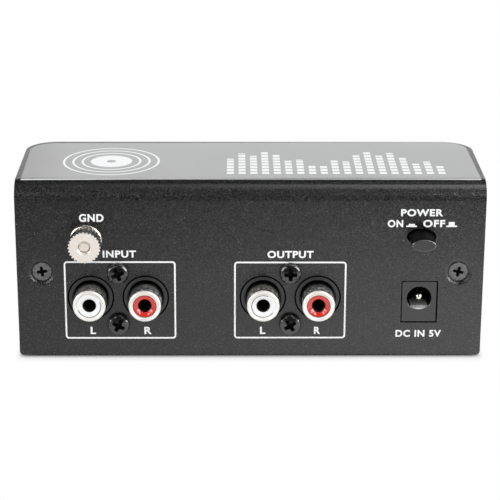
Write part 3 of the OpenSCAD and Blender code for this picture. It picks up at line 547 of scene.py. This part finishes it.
def label_foil():
    """Grey foil with a printed pattern of rings and bars under clear gloss, a painted highlight along its
    near edge and painted shade towards its far left end.
    """
    material, tree, out, place = new_material("label_foil")
    x, y, z = axes(place)
    across, deep = x * 1000, y * 1000 - WALL_Y
    # rings
    reach = calc("SQRT", (across - RINGS_X) ** 2 + (deep - RINGS_Y) ** 2)
    lines = (calc("FRACT", reach / RING_STEP) < RING_LINE) * (reach < DISC_R)
    rings = calc("MAXIMUM", lines, reach < HEART_R) * (reach > HOLE_R)
    # bars
    count = (across - BARS_X) / BAR_STEP
    bar = calc("FLOOR", count)
    wave = calc("SINE", bar * 0.62) + calc("SINE", bar * 2.3) * 0.45
    from_near = deep - BARS_Y
    bars = (from_near > 0) * (from_near < wave * 5.5 + 14) * (calc("FRACT", count) < BAR_SHARE)
    bars = bars * (calc("FRACT", from_near / DOT_STEP) < DOT_SHARE) * (bar > -0.5) * (bar < BAR_COUNT - 0.5)
    # a painted highlight along the near edge, where the label's cut edge catches the light; it lies a touch
    # askew
    painted_edge_highlight = deep - across * 0.0024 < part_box("top_label")[0].y * 1000 - WALL_Y + 0.02
    # the print, with the painted edge highlight mixed in as the same pale colour
    ink = calc("MAXIMUM", calc("MAXIMUM", rings, bars), painted_edge_highlight)
    # foil
    cloud = add(tree, "TexNoise", {"Vector": place, "Scale": 40.0, "Detail": 3.0})
    # the foil is painted darker towards its far left end, as painted shade
    level = across.step(-60, -44, 0.1, 0.205) * (cloud * 0.3 + 0.85)
    foil = add(tree, "CombineColor", {i: level * share for i, share in enumerate((1.0, 1.01, 1.03))})
    gloss = add(tree, "BsdfPrincipled", {
        "Base Color": mix(ink, foil, (0.78, 0.79, 0.8, 1)),
        "Roughness": 0.3,
        "Coat Weight": 0.6,
        "Coat Roughness": 0.05,
    })
    feed(out, 0, gloss)
    return material


FINISHES["label_foil"] = label_foil()
slots = {part["node"]: part["material_slot"] for part in frame["record"]["subparts"]}
for name, node in nodes.items():
    node.data.materials.clear()
    node.data.materials.append(FINISHES[slots[name]])
print("dressed nodes:", len(nodes))

# %% [markdown]
# ## Turned and cut pieces
# Most small parts here were turned on a lathe or pressed round. In Blender such a piece starts as
# a circle, and its profile is drawn by extruding and scaling that circle from one radius and
# height to the next. Modelling happens at the origin in millimetres, facing up, and a last step
# shrinks the piece to metres, faces it out of the wall and bakes its place into its mesh.
# First come the hands for that work: what to hold, what to select and how to move it.

# %% Selecting and moving
MM = 0.001


def only(piece):
    """Makes a piece the only selected and the active object."""
    bpy.ops.object.select_all(action="DESELECT")
    piece.select_set(True)
    bpy.context.view_layer.objects.active = piece
    return piece


def baked(piece, **changes):
    """Moves, turns or scales a piece and takes the change into its mesh."""
    for key, value in changes.items():
        setattr(piece, key, value)
    only(piece)
    bpy.ops.object.transform_apply(location=True, rotation=True, scale=True)
    return piece


def choose(piece, test, kind="faces"):
    """In edit mode, selects only the faces or edges whose middle and normal or direction pass a test."""
    mesh = bmesh.from_edit_mesh(piece.data)
    for face in mesh.faces:
        face.select_set(False)
    for item in getattr(mesh, kind):
        if kind == "faces":
            middle, way = item.calc_center_median(), item.normal
        else:
            first, second = (corner.co for corner in item.verts)
            middle, way = (first + second) / 2, (first - second).normalized()
        if test(middle, way):
            item.select_set(True)
    bmesh.update_edit_mesh(piece.data)


def extrude(x, y, z):
    """Extrudes what is selected by a step."""
    bpy.ops.mesh.extrude_region_move(TRANSFORM_OT_translate={"value": (x, y, z)})


def bevel(offset, segments, affect="EDGES"):
    """Rounds what is selected."""
    bpy.ops.mesh.bevel(offset=offset, offset_pct=0, segments=segments, affect=affect)


print("selecting helpers ready")

# %% [markdown]
# Three blanks start every piece. A turned blank follows a profile round the z axis, an arc gives
# such a profile its round stretches, and a block is a plain box.

# %% Blanks
def turned(name, profile, sides=64, ring=False):
    """A piece turned round the z axis from a list of (radius, height). A radius of 0 closes an end,
    and a ring comes back to its start."""
    bpy.ops.object.select_all(action="DESELECT")
    closed = profile[0][0] == 0
    radius, height = profile[1] if closed else profile[0]
    bpy.ops.mesh.primitive_circle_add(vertices=sides, radius=radius, location=(0, 0, height))
    piece = bpy.context.object
    piece.name = name
    bpy.ops.object.transform_apply(location=True)
    bpy.ops.object.mode_set(mode="EDIT")
    bpy.ops.mesh.select_all(action="SELECT")
    if closed:
        extrude(0, 0, profile[0][1] - height)
        bpy.ops.mesh.merge(type="CENTER")
        rim = radius / 2
        choose(piece, lambda c, way: c.xy.length > rim and abs(way.dot(c.normalized())) < 0.1, "edges")
    for next_radius, next_height in profile[2 if closed else 1:]:
        extrude(0, 0, next_height - height)
        if next_radius == 0:
            bpy.ops.mesh.merge(type="CENTER")
            break
        scale = next_radius / radius
        bpy.ops.transform.resize(value=(scale, scale, 1), center_override=(0, 0, next_height))
        radius, height = next_radius, next_height
    bpy.ops.mesh.select_all(action="SELECT")
    if ring:
        bpy.ops.mesh.remove_doubles(threshold=0.001)
    bpy.ops.mesh.normals_make_consistent(inside=False)
    bpy.ops.object.mode_set(mode="OBJECT")
    return piece


def arc(centre, radius, start, end, steps):
    """Points of an arc as (radius, height), with angles in degrees from level."""
    turns = [math.radians(start + (end - start) * i / steps) for i in range(steps + 1)]
    return [(centre[0] + radius * math.cos(a), centre[1] + radius * math.sin(a)) for a in turns]


def block(name, size, middle=(0, 0, 0)):
    """A box of a size round its middle, as the start of a piece or as a cutter."""
    bpy.ops.object.select_all(action="DESELECT")
    bpy.ops.mesh.primitive_cube_add(size=1, location=middle, scale=size)
    piece = bpy.context.object
    piece.name = name
    return baked(piece)


print("blanks ready")

# %% [markdown]
# Blanks are joined, cut by one another and softened. Softening is a small bevel on every sharp
# edge, with shading that stays flat on the faces and turns only on the bevels.

# %% Joining, cutting and softening
def copied(piece, name):
    """A copy with its own mesh."""
    copy = piece.copy()
    copy.data = piece.data.copy()
    copy.name = name
    bpy.context.scene.collection.objects.link(copy)
    return copy


def joined(piece, *others):
    """Several pieces made one."""
    only(piece)
    for other in others:
        other.select_set(True)
    bpy.ops.object.join()
    return piece


def modify(piece, kind, **settings):
    """Adds a modifier with these settings and applies it."""
    only(piece)
    modifier = piece.modifiers.new(kind.lower(), kind)
    for key, value in settings.items():
        setattr(modifier, key, value)
    bpy.ops.object.modifier_apply(modifier=modifier.name)
    return piece


def cut(piece, *cutters, operation="DIFFERENCE"):
    """Cuts tools out of a piece, or trims it to them, and removes them."""
    for cutter in cutters:
        modify(piece, "BOOLEAN", operation=operation, solver="EXACT", object=cutter)
        bpy.data.objects.remove(cutter)
    return piece


def soften(piece, width, segments=2, angle=35):
    """Rounds the sharp edges and smooths the shading."""
    sharp = math.radians(angle)
    modify(piece, "BEVEL", width=width, segments=segments, limit_method="ANGLE", angle_limit=sharp)
    only(piece)
    bpy.ops.object.shade_smooth_by_angle(angle=sharp)
    return modify(piece, "WEIGHTED_NORMAL", keep_sharp=True, weight=100)


print("cutting helpers ready")

# %% [markdown]
# A finished piece is set on the wall, takes its material and rides on its body. Some of its faces
# may then be painted with a second material, chosen by where they lie and which way they face.

# %% Placing and painting
def painted(piece, material, test):
    """Gives the faces whose middle and normal pass a test another material, in place on the object."""
    piece.data.materials.append(material)
    for face in piece.data.polygons:
        if test(face.center, face.normal):
            face.material_index = len(piece.data.materials) - 1


def placed(piece, place, spin=0.0):
    """Shrinks a piece to metres, faces it out of the jack wall, and bakes its place."""
    facing = Matrix.Rotation(math.radians(90), 3, "X") @ Matrix.Rotation(math.radians(spin), 3, "Z")
    return baked(piece, scale=(MM, MM, MM), rotation_euler=facing.to_euler(), location=place)


def mount(piece, place, body, material, spin=0.0, instead_of=()):
    """Places a finished piece and makes it part of the object."""
    placed(piece, place, spin)
    piece.data.materials.clear()
    piece.data.materials.append(material)
    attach(piece, body)
    if instead_of:
        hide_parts(*instead_of)
    return piece


print("placing helpers ready")

# %% [markdown]
# A cross recess is punched by a tool with four tapered wings. One wing pair is a cube whose lower
# end is scaled in, with its long edges rounded, and the second pair is its copy turned by a
# quarter. A short cone between them rounds the inner corners, as on a real screw.

# %% Cross recess tool
def cross_tool(span, wing, depth, height):
    """Three cutters that punch a cross recess of a span, wing width and depth, down from a height."""
    blade = block("blade", (span, wing, depth), (0, 0, height - depth / 2))
    bpy.ops.object.mode_set(mode="EDIT")
    choose(blade, lambda middle, normal: normal.z > 0.5)
    extrude(0, 0, 1)
    choose(blade, lambda middle, normal: normal.z < -0.5)
    bpy.ops.transform.resize(value=(0.5, 0.7, 1), center_override=(0, 0, height - depth))
    choose(blade, lambda middle, way: abs(way.z) > 0.5, "edges")
    bevel(wing * 0.25, 4)
    bpy.ops.object.mode_set(mode="OBJECT")
    second = baked(copied(blade, "second_blade"), rotation_euler=(0, 0, math.radians(90)))
    profile = [(0, height - depth * 1.1), (wing * 0.9, height), (wing, height + 1), (0, height + 1)]
    return blade, second, turned("cone", profile, 24)


print("recess tool ready")

# %% [markdown]
# Two heads are enough for all six screws of the jack wall. The pan head is domed and stands on
# the wall, and the flat head is a cone that sinks into its dimple.

# %% Screw heads
PAN_R, FLAT_R = 2.8, 2.42
pan = turned(
    "pan_head",
    [(0, -1.0), (1.5, -1.0), (1.5, 0), (PAN_R - 0.1, 0), (PAN_R, 0.12)]
    + arc((PAN_R - 1.0, 0.68), 1.0, 0, 68, 10) + [(1.5, 1.78), (0.8, 1.87), (0, 1.9)],
)
cut(pan, *cross_tool(span=3.6, wing=1.05, depth=1.5, height=1.9))
soften(pan, 0.06)
flat = turned(
    "flat_head",
    [(0, -1.3), (1.5, -1.3), (FLAT_R - 0.05, -0.25), (FLAT_R, -0.18), (FLAT_R, -0.08),
     (FLAT_R - 0.08, 0), (0, 0)],
)
cut(flat, *cross_tool(span=2.7, wing=0.78, depth=1.0, height=0))
soften(flat, 0.04)
print("screw heads:", len(pan.data.polygons), len(flat.data.polygons), "faces")

# %% [markdown]
# Screws are never all driven to the same angle, so each copy is turned its own way before it is
# set on the wall. The walls of every recess are painted near-black, as painted shade for the dark
# look of a deep glossy recess.

# %% Jack screws and case screws
JACK_SCREWS = {  # place across and up, and how far the screw is turned, in degrees
    "jack_screw_1": (-33.7, 22.5, 22), "jack_screw_2": (-33.7, 8.7, -28),
    "jack_screw_3": (10.2, 22.5, 0), "jack_screw_4": (10.2, 8.7, 33),
}
CASE_SCREWS = {"case_screw_1": (-53, 22.65, 8), "case_screw_2": (53, 22.65, -12)}
SCREW_KINDS = [  # screws, node, head, finish, seat, and where and how far out the recess ends
    (JACK_SCREWS, "jack_screws", pan, FINISHES["black_screw"], 0, -0.95, 1.9),
    (CASE_SCREWS, "case_screws", flat, grained_screw, 0.5, 0.6, 1.6),
]
for screws, node, head, finish, seat, floor, reach in SCREW_KINDS:
    for name, (x, z, spin) in screws.items():
        screw = mount(copied(head, name), at(x, seat, z), "case", finish, spin, [node])
        end = at(x, floor, z)
        # the recess walls are painted near-black as painted shade
        painted(screw, shade, lambda c, n: off_axis(c, end) < reach and (n.y > -0.6 or c.y > end.y))
    bpy.data.objects.remove(head)
print("screws:", sorted(list(JACK_SCREWS) + list(CASE_SCREWS)))

# %% [markdown]
# The ground terminal's thumb nut is brass with nickel plate. Its rim is knurled with 28 teeth. The
# turned circle has four corners for each tooth, and two of every four are pulled in. The face is
# turned flat and has a countersunk mouth, with the end of the stud inside.

# %% Thumb nut
NUT_TEETH, NUT_R, TOOTH = 28, 4.12, 0.34
nut = turned(
    "thumb_nut_turned",
    [(1.53, 0.02), (3.1, 0.02), (3.1, 0.7), (NUT_R - 0.65, 0.72), (NUT_R, 1.0), (NUT_R, 4.74),
     (NUT_R - 0.04, 4.78), (1.86, 4.78), (1.53, 4.4), (1.53, 0.02)],
    4 * NUT_TEETH, ring=True,
)
bpy.ops.object.mode_set(mode="EDIT")
mesh = bmesh.from_edit_mesh(nut.data)
for corner in mesh.verts:
    count = round(math.atan2(corner.co.y, corner.co.x) / math.pi * 2 * NUT_TEETH)
    corner.select_set(count % 4 > 1 and corner.co.xy.length > NUT_R - 0.2)
mesh.select_flush_mode()
bmesh.update_edit_mesh(nut.data)
pulled = 1 - TOOTH / NUT_R
bpy.ops.transform.resize(value=(pulled, pulled, 1), center_override=(0, 0, 0))
bpy.ops.object.mode_set(mode="OBJECT")
soften(nut, 0.09, angle=18)
mount(nut, at(GROUND_X, -1.5, GROUND_Z), "thumb_nut", nut_metal, instead_of=["thumb_nut"])
axis = at(GROUND_X, 0, GROUND_Z)
# the knurled sides get the darker metal: painted shade
painted(nut, knurl_shaded_metal, lambda c, n: off_axis(c, axis) > 2.6 and abs(n.y) < 0.6)
painted(nut, mouth_metal, lambda c, n: off_axis(c, axis) < 1.85)
print("thumb nut:", len(nut.data.polygons), "faces")

# %% [markdown]
# The collar under the nut is a plain turned disc, and it shows as a bright crescent because its
# front edge is rounded. The stud's end is domed a little where it was cut.

# %% Ground collar and stud
collar = turned(
    "ground_disc",
    [(1.5, 0), (4.15, 0), (4.15, 0.5)] + arc((3.65, 0.5), 0.5, 0, 90, 8)[1:] + [(1.5, 1.0), (1.5, 0)],
    ring=True,
)
soften(collar, 0.03)
mount(collar, axis, "case", FINISHES["nickel"], instead_of=["ground_collar"])
profile = [(0, -5.2), (1.5, -5.2), (1.5, 5.1), (1.08, 5.62), (0.98, 5.7), (0, 5.7)]
stud = turned("ground_stud_turned", profile, 48)
soften(stud, 0.03)
mount(stud, axis, "case", mouth_metal, instead_of=["ground_stud"])
print("ground terminal:", collar.name, stud.name)

# %% [markdown]
# Behind each jack's pin hole sits a sprung sleeve, and its metal is painted near-black as painted
# shade deep in the hole, which is why the hole looks black. It is a thin tube with a rounded mouth,
# turned once and copied for all four jacks.

# %% Sleeves in the jacks
profile = [(1.64, -2.6), (1.64, -0.1), (1.58, 0), (1.5, -0.1), (1.46, -2.6), (1.64, -2.6)]
sleeve = turned("sleeve", profile, 48, ring=True)
for name, x in JACKS.items():
    copy = copied(sleeve, name + "_sleeve")
    mount(copy, at(x, -5.85, JACK_Z), "case", FINISHES["spring_bronze"])
bpy.data.objects.remove(sleeve)
print("sleeves:", len(JACKS))

# %% [markdown]
# A shell is drawn from sheet, and its front edge is rolled inwards to a lip. Inside the lip runs
# a fine groove that is deeper above. Its cutter is a disc less the same disc set a little lower,
# so it shows as a dark crescent inside the bright ring.

# %% Jack shells
GROOVE_R, GROOVE_DROP = 3.34, 0.13
shell = turned(
    "shell",
    [(3.0, 6.2), (3.0, 6.54), (3.38, 6.54), (3.48, 6.66), (3.58, 6.7)] + arc((3.64, 6.22), 0.48, 90, 0, 8)
    + [(4.125, 6.22), (4.125, -1.5), (4.37, -1.5), (4.37, -3.6), (3.68, -3.6), (3.68, 6.2), (3.0, 6.2)],
    96, ring=True,
)
crescent = turned("crescent", [(0, 6.3), (GROOVE_R, 6.3), (GROOVE_R, 7), (0, 7)], 96)
low_disc = turned("low_disc", [(0, 6), (GROOVE_R, 6), (GROOVE_R, 8), (0, 8)], 96)
cut(crescent, baked(low_disc, location=(0, -GROOVE_DROP, 0)))
cut(shell, crescent)
soften(shell, 0.03, angle=40)
for name, x in JACKS.items():
    copy = copied(shell, name + "_rolled_shell")
    mount(copy, at(x, 0, JACK_Z), "case", shell_plate, instead_of=[name + "_shell"])
bpy.data.objects.remove(shell)
print("shells:", len(JACKS))

# %% [markdown]
# The DC inlet is a moulded block whose face lies flush in its window. Its mouth has a small
# bevel, a slot for the spring leaf below and a small rib above. The block is a cube with its back
# part drawn in and its upper edges rounded, and the mouth is cut out of it with a turned tool.

# %% DC inlet
MOUTH_R, MOUTH_RISE = 3.15, 0.9  # the mouth sits above the middle of the face
INLET = (43.19, 0, 14.65)
dc = block("dc_inlet", (8.7, 10.7, 3.4), (0, 0, -1.7))
bpy.ops.object.mode_set(mode="EDIT")
choose(dc, lambda middle, normal: normal.z < -0.5)
bpy.ops.mesh.inset(thickness=0.05)
extrude(0, 0, -10.8)
choose(dc, lambda middle, way: abs(way.z) > 0.5 and middle.y > 0 and middle.z < -4, "edges")
bevel(4.2, 10)
bpy.ops.object.mode_set(mode="OBJECT")
profile = [(0, -9.5), (MOUTH_R, -9.5), (MOUTH_R, -0.15), (MOUTH_R + 0.15, 0), (MOUTH_R + 0.15, 1), (0, 1)]
mouth = baked(turned("mouth", profile, 96), location=(0, MOUTH_RISE, 0))
cut(dc, mouth, block("slot_cut", (2.3, 1.2, 13), (0, MOUTH_RISE - 3.55, -8.7)))
soften(dc, 0.09)
joined(dc, block("rib", (0.4, 0.7, 9), (0, MOUTH_RISE + 3.2, -4.9)))
mount(dc, at(*INLET), "case", FINISHES["black_plastic"], instead_of=["dc_housing"])
mouth_edge = at(INLET[0], 0.3, INLET[2] + MOUTH_RISE)
# the inside of the mouth is painted near-black as painted shade
painted(dc, shade, lambda c, n: off_axis(c, mouth_edge) < MOUTH_R + 0.15 and c.y > mouth_edge.y)
print("DC inlet:", len(dc.data.polygons), "faces")

# %% [markdown]
# Low in the mouth lies the sprung leaf that touches the plug's sleeve. Its front end is bent down
# in a round, which catches the light. It is a block with one rounded edge, trimmed by a cylinder
# to the mouth's round, and its tail goes down to the board behind the housing.

# %% DC spring leaf
leaf = block("dc_leaf", (4.4, 1.05, 4.9), (0, -2.575, -2.75))
bpy.ops.object.mode_set(mode="EDIT")
choose(leaf, lambda middle, way: abs(way.x) > 0.9 and middle.y > -2.3 and middle.z > -1, "edges")
bevel(0.7, 6)
bpy.ops.object.mode_set(mode="OBJECT")
cut(leaf, turned("trim", [(0, -9), (3.1, -9), (3.1, 1), (0, 1)], 96), operation="INTERSECT")
soften(leaf, 0.03)
tail = block("tail", (2.2, 0.3, 10.0), (0, -2.75, -9.2))
leg = block("leg", (2.2, 6.5, 0.4), (0, -6.0, -14.2))
joined(leaf, tail, leg)
mount(leaf, at(POWER_X, 0, 15.5), "case", leaf_metal, instead_of=["dc_spring"])
print("leaf:", len(leaf.data.polygons), "faces")

# %% [markdown]
# The power button is a long oval cap in an oval opening. It is turned first and pressed flat
# afterwards, so that its polished rim is round all the way and catches the light in two thin arcs.

# %% Power button
CAP_R, CAP_REACH, RIM_R = 3.1, 7.4, 0.4
rim = arc((CAP_R - RIM_R, CAP_REACH - RIM_R), RIM_R, 0, 90, 6)
cap = turned("power_button_cap", [(0, -1.6), (CAP_R, -1.6)] + rim + [(0, CAP_REACH)], 96)
soften(baked(cap, scale=(1, 0.5, 1)), 0.01, angle=50)
button_plastic = FINISHES["button_plastic"]
mount(cap, at(*BUTTON), "button", button_plastic, instead_of=["power_button"])
# the steep sides of the cap are painted near-black as painted shade
painted(cap, shade, lambda c, n: abs(n.y) < 0.3)
painted(cap, polished_rim, lambda c, n: 0.3 <= abs(n.y) < 0.98)
print("button:", len(cap.data.polygons), "faces")

# %% [markdown]
# ## Printed legends
# The legends are screen-printed in white: a thin layer of ink that stands on the coat. A text
# object gives the letters, made bolder by an offset, and is turned into a mesh before it is
# placed. Each word is scaled to the width and height it has on the wall.

# %% Words
INK_T = 0.02
LETTERS = {"size": 2.6, "offset": 0.088, "space_character": 1.12, "extrude": INK_T / 2, "resolution_u": 6}
WORDS = [  # text, left, right, lower and upper edge on the wall
    ("GND", -43.2, -37.0, 36.1, 38.2), ("INPUT", -37.45, -29.0, 26.6, 28.5),
    ("OUTPUT", 4.3, 16.0, 26.45, 28.4), ("L", -41.0, -39.6, 5.8, 7.8), ("R", -27.2, -25.3, 5.8, 7.8),
    ("L", 2.5, 3.9, 5.8, 7.8), ("R", 16.4, 18.0, 5.8, 7.8), ("POWER", 37.9, 48.5, 37.6, 39.5),
    ("ON", 34.6, 38.5, 34.7, 36.65), ("OFF", 43.55, 49.1, 34.7, 36.65), ("DC IN 5V", 37.4, 49.1, 5.0, 6.9),
]


def printed(piece, x, y, z):
    """Stands a flat piece, drawn in x and y, on the wall as ink."""
    return mount(piece, at(x, y, z), "case", white_ink)


for i, (text, left, right, low, high) in enumerate(WORDS):
    bpy.ops.object.select_all(action="DESELECT")
    bpy.ops.object.text_add()
    word = bpy.context.object
    word.data.body = text
    for key, value in LETTERS.items():
        setattr(word.data, key, value)
    bpy.ops.object.convert(target="MESH")
    word = bpy.context.object
    word.name = "legend_" + str(i + 1)
    corners = [vertex.co for vertex in word.data.vertices]
    low_x, high_x = min(c.x for c in corners), max(c.x for c in corners)
    low_y, high_y = min(c.y for c in corners), max(c.y for c in corners)
    wider, taller = (right - left) / (high_x - low_x), (high - low) / (high_y - low_y)
    baked(word, scale=(wider, taller, 1), location=(-low_x * wider, -low_y * taller, 0))
    printed(word, left, -INK_T / 2, low)
print("words:", len(WORDS))

# %% [markdown]
# Each pair of jacks has a frame of one thin line round it, and the words beside the button have a
# small sign each: a base line with the button's head on it, low when pressed and high when out.

# %% Frames and switch signs
FRAME_CORNER, FRAME_LINE = 0.9, 0.42
FRAMES = {"input_frame": (-47.4, -19.0, 4.55, 25.6), "output_frame": (-4.15, 24.45, 4.6, 25.5)}
SIGNS = {
    "pressed_sign": ((39.3, 42.0, 34.77, 35.14), (39.9, 41.5, 35.14, 35.6)),
    "released_sign": ((49.4, 52.1, 34.77, 35.14), (50.0, 51.5, 35.14, 36.1)),
}
for name, (left, right, low, high) in FRAMES.items():
    bpy.ops.object.select_all(action="DESELECT")
    bpy.ops.mesh.primitive_plane_add(size=1)
    piece = bpy.context.object
    piece.name = name
    baked(piece, scale=(right - left, high - low, 1))
    bpy.ops.object.mode_set(mode="EDIT")
    bpy.ops.mesh.select_all(action="SELECT")
    bevel(FRAME_CORNER, 8, "VERTICES")
    bpy.ops.mesh.select_all(action="SELECT")
    bpy.ops.mesh.inset(thickness=FRAME_LINE)
    bpy.ops.mesh.delete(type="FACE")
    bpy.ops.mesh.select_all(action="SELECT")
    extrude(0, 0, INK_T)
    bpy.ops.mesh.select_all(action="SELECT")
    bpy.ops.mesh.normals_make_consistent(inside=False)
    bpy.ops.object.mode_set(mode="OBJECT")
    printed(piece, (left + right) / 2, 0, (low + high) / 2)
for name, boxes in SIGNS.items():
    bars = [
        block(name, (right - left, high - low, INK_T), ((left + right) / 2, (low + high) / 2, INK_T / 2))
        for left, right, low, high in boxes
    ]
    printed(joined(*bars), 0, 0, 0)
print("frames and signs:", list(FRAMES), list(SIGNS))

# %% [markdown]
# ## Sheet metal with soft edges
# Sheet steel that was punched, folded and coated has no sharp edge left. Each large part is a copy
# of its solid whose loose triangles are merged, whose flat faces are joined, and whose edges then
# get a small bevel. The bevel catches the light along every rim.

# %% Helpers for soft edges
def ring_cutter(x, y, z, inner, outer, depth):
    """A ring, or a disc if inner is 0, that cuts into the wall from y down to y + depth."""
    profile = [(inner, -depth), (outer, -depth), (outer, 1.5), (inner, 1.5)]
    cutter = turned("ring_cutter", profile + [profile[0]] if inner else profile, 96, ring=inner > 0)
    return placed(cutter, at(x, y, z))


def merged(node):
    """A copy of a solid node with its corners merged and its flat faces whole, in edit mode."""
    piece = copied(nodes[node], node + "_soft")
    piece.parent = None
    piece.matrix_world = Matrix.Identity(4)
    only(piece)
    bpy.ops.mesh.customdata_custom_splitnormals_clear()
    bpy.ops.object.mode_set(mode="EDIT")
    bpy.ops.mesh.select_all(action="SELECT")
    bpy.ops.mesh.remove_doubles(threshold=0.001 * MM)
    bpy.ops.mesh.dissolve_limited(angle_limit=math.radians(0.5))
    return piece


def softened(node, body, width, cutters=(), piece=None):
    """A copy of a solid node, cut and with soft edges, in place of it."""
    piece = piece or merged(node)
    if bpy.context.mode != "OBJECT":
        bpy.ops.object.mode_set(mode="OBJECT")
    cut(piece, *cutters)
    soften(piece, width)
    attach(piece, body)
    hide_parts(node)
    return piece


print("soft edge helpers ready")

# %% [markdown]
# The label is a little longer than the flat of the top, so its near edge follows the start of the
# fold. The edge is extruded by a narrow strip, which reaches furthest at the right end.

# %% Label
LABEL_EDGE, LABEL_DIP = (0, -0.0006, -0.00003), (0, -0.0011, -0.00018)
label = merged("top_label")
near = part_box("top_label")[0].y
choose(label, lambda middle, normal: normal.y < -0.9 and middle.y < near + MM)
extrude(*LABEL_EDGE)
low = min(corner.co.y for corner in bmesh.from_edit_mesh(label.data).verts if corner.co.x > 0.05)
choose(label, lambda middle, way: middle.y < low + 0.1 * MM and middle.x > 0.05, "edges")
bpy.ops.transform.translate(value=LABEL_DIP)
softened("top_label", "case", 0.01 * MM, piece=label)
print("label edge:", [round(v / MM, 2) for v in (near, low)])

# %% [markdown]
# The cover's round button hole is closed and an oval one is cut in its place. Its jack holes are
# opened a touch, and a shallow groove is cut into the housing behind each. The walls of the holes and
# the floor and walls of the grooves are painted near-black as painted shade, so that a deep black gap
# shows round every jack. The dimples get a sharp inner rim.

# %% Cover, wrap, plate and housings
WIDTHS = {
    "case_cover": 0.15, "case_wrap": 0.12, "base_plate": 0.1, "input_housing": 0.1, "output_housing": 0.1,
}
HOLE_GAP_R, OVAL_HOLE_R, OVAL_SHARE = 5.95, 3.75, 0.56
DIMPLE_RIM, JACK_GROOVE = (2.44, 2.8, 0.35), (5.56, 5.97, 0.62)  # inner and outer radius, depth
GROOVE_FLOOR = at(0, 1.62, 0).y
middles = [at(x, 0.5, JACK_Z) for x in JACKS.values()]


def in_gap(centre, low, high):
    """Whether a place lies in the ring round one of the jacks."""
    return any(low < off_axis(centre, middle) < high for middle in middles)


for node, width in WIDTHS.items():
    piece, cutters = merged(node), []
    if node == "case_cover":
        round_hole = at(POWER_X, 0.5, PLUNGER_Z)
        choose(piece, lambda middle, normal: off_axis(middle, round_hole) < 3.76 and abs(normal.y) < 0.1)
        bpy.ops.mesh.delete(type="FACE")
        bpy.ops.mesh.select_all(action="SELECT")
        bpy.ops.mesh.fill_holes(sides=0)
        lower, outer = 1 * MM, -16.3 * MM
        choose(
            piece,
            lambda middle, way: abs(way.x) > 0.99 and middle.z < lower and middle.y < outer,
            "edges",
        )
        bevel(0.6 * MM, 4)
        bpy.ops.object.mode_set(mode="OBJECT")
        cutters = [ring_cutter(x, 0.5, z, *DIMPLE_RIM) for x, z, spin in CASE_SCREWS.values()]
        cutters += [ring_cutter(x, 0, JACK_Z, 0, HOLE_GAP_R, 1.5) for x in JACKS.values()]
        oval = ring_cutter(*BUTTON, 0, OVAL_HOLE_R, 1.5)
        back = (1 - OVAL_SHARE) * at(*BUTTON).z  # keeps its middle in place
        cutters.append(baked(oval, scale=(1, 1, OVAL_SHARE), location=(0, 0, back)))
    elif "housing" in node:
        bpy.ops.object.mode_set(mode="OBJECT")
        own = [x for jack, x in JACKS.items() if jack[:3] == node[:3]]
        cutters = [ring_cutter(x, 1, JACK_Z, *JACK_GROOVE) for x in own]
    soft = softened(node, "case", width * MM, cutters, piece)
    if node == "case_cover":
        # the walls of the jack holes: painted shade
        painted(soft, shade, lambda c, n: in_gap(c, 0, HOLE_GAP_R + 0.02))
    elif "housing" in node:
        # the groove's floor and walls: painted shade
        painted(soft, shade, lambda c, n: abs(c.y - GROOVE_FLOOR) < 0.02 * MM
                or abs(n.y) < 0.1 and in_gap(c, 5.4, 6))
    print(soft.name, len(soft.data.polygons), "faces")

# %% [markdown]
# The insulators keep their dished faces and get a small step at the edge of the pin hole, which is
# painted near-black inside as painted shade. The plunger behind the button is trimmed at its front,
# where the flat cap covers less of it.

# %% Insulators and plunger
PIN_STEP_R = 1.73
for name, x in JACKS.items():
    step = ring_cutter(x, -6.5, JACK_Z, 0, PIN_STEP_R, 1.4)
    cone = softened(name + "_insulator", "case", 0.01 * MM, [step])
    middle = at(x, 0, JACK_Z)
    painted(cone, shade, lambda c, n: off_axis(c, middle) < PIN_STEP_R + 0.02)
front_cut = block("front_cut", (6 * MM, 4.5 * MM, 6 * MM), at(POWER_X, -0.95, PLUNGER_Z))
plunger = softened("switch_plunger", "button", 0.01 * MM, [front_cut])
print("insulators:", len(JACKS), "plunger:", plunger.name)
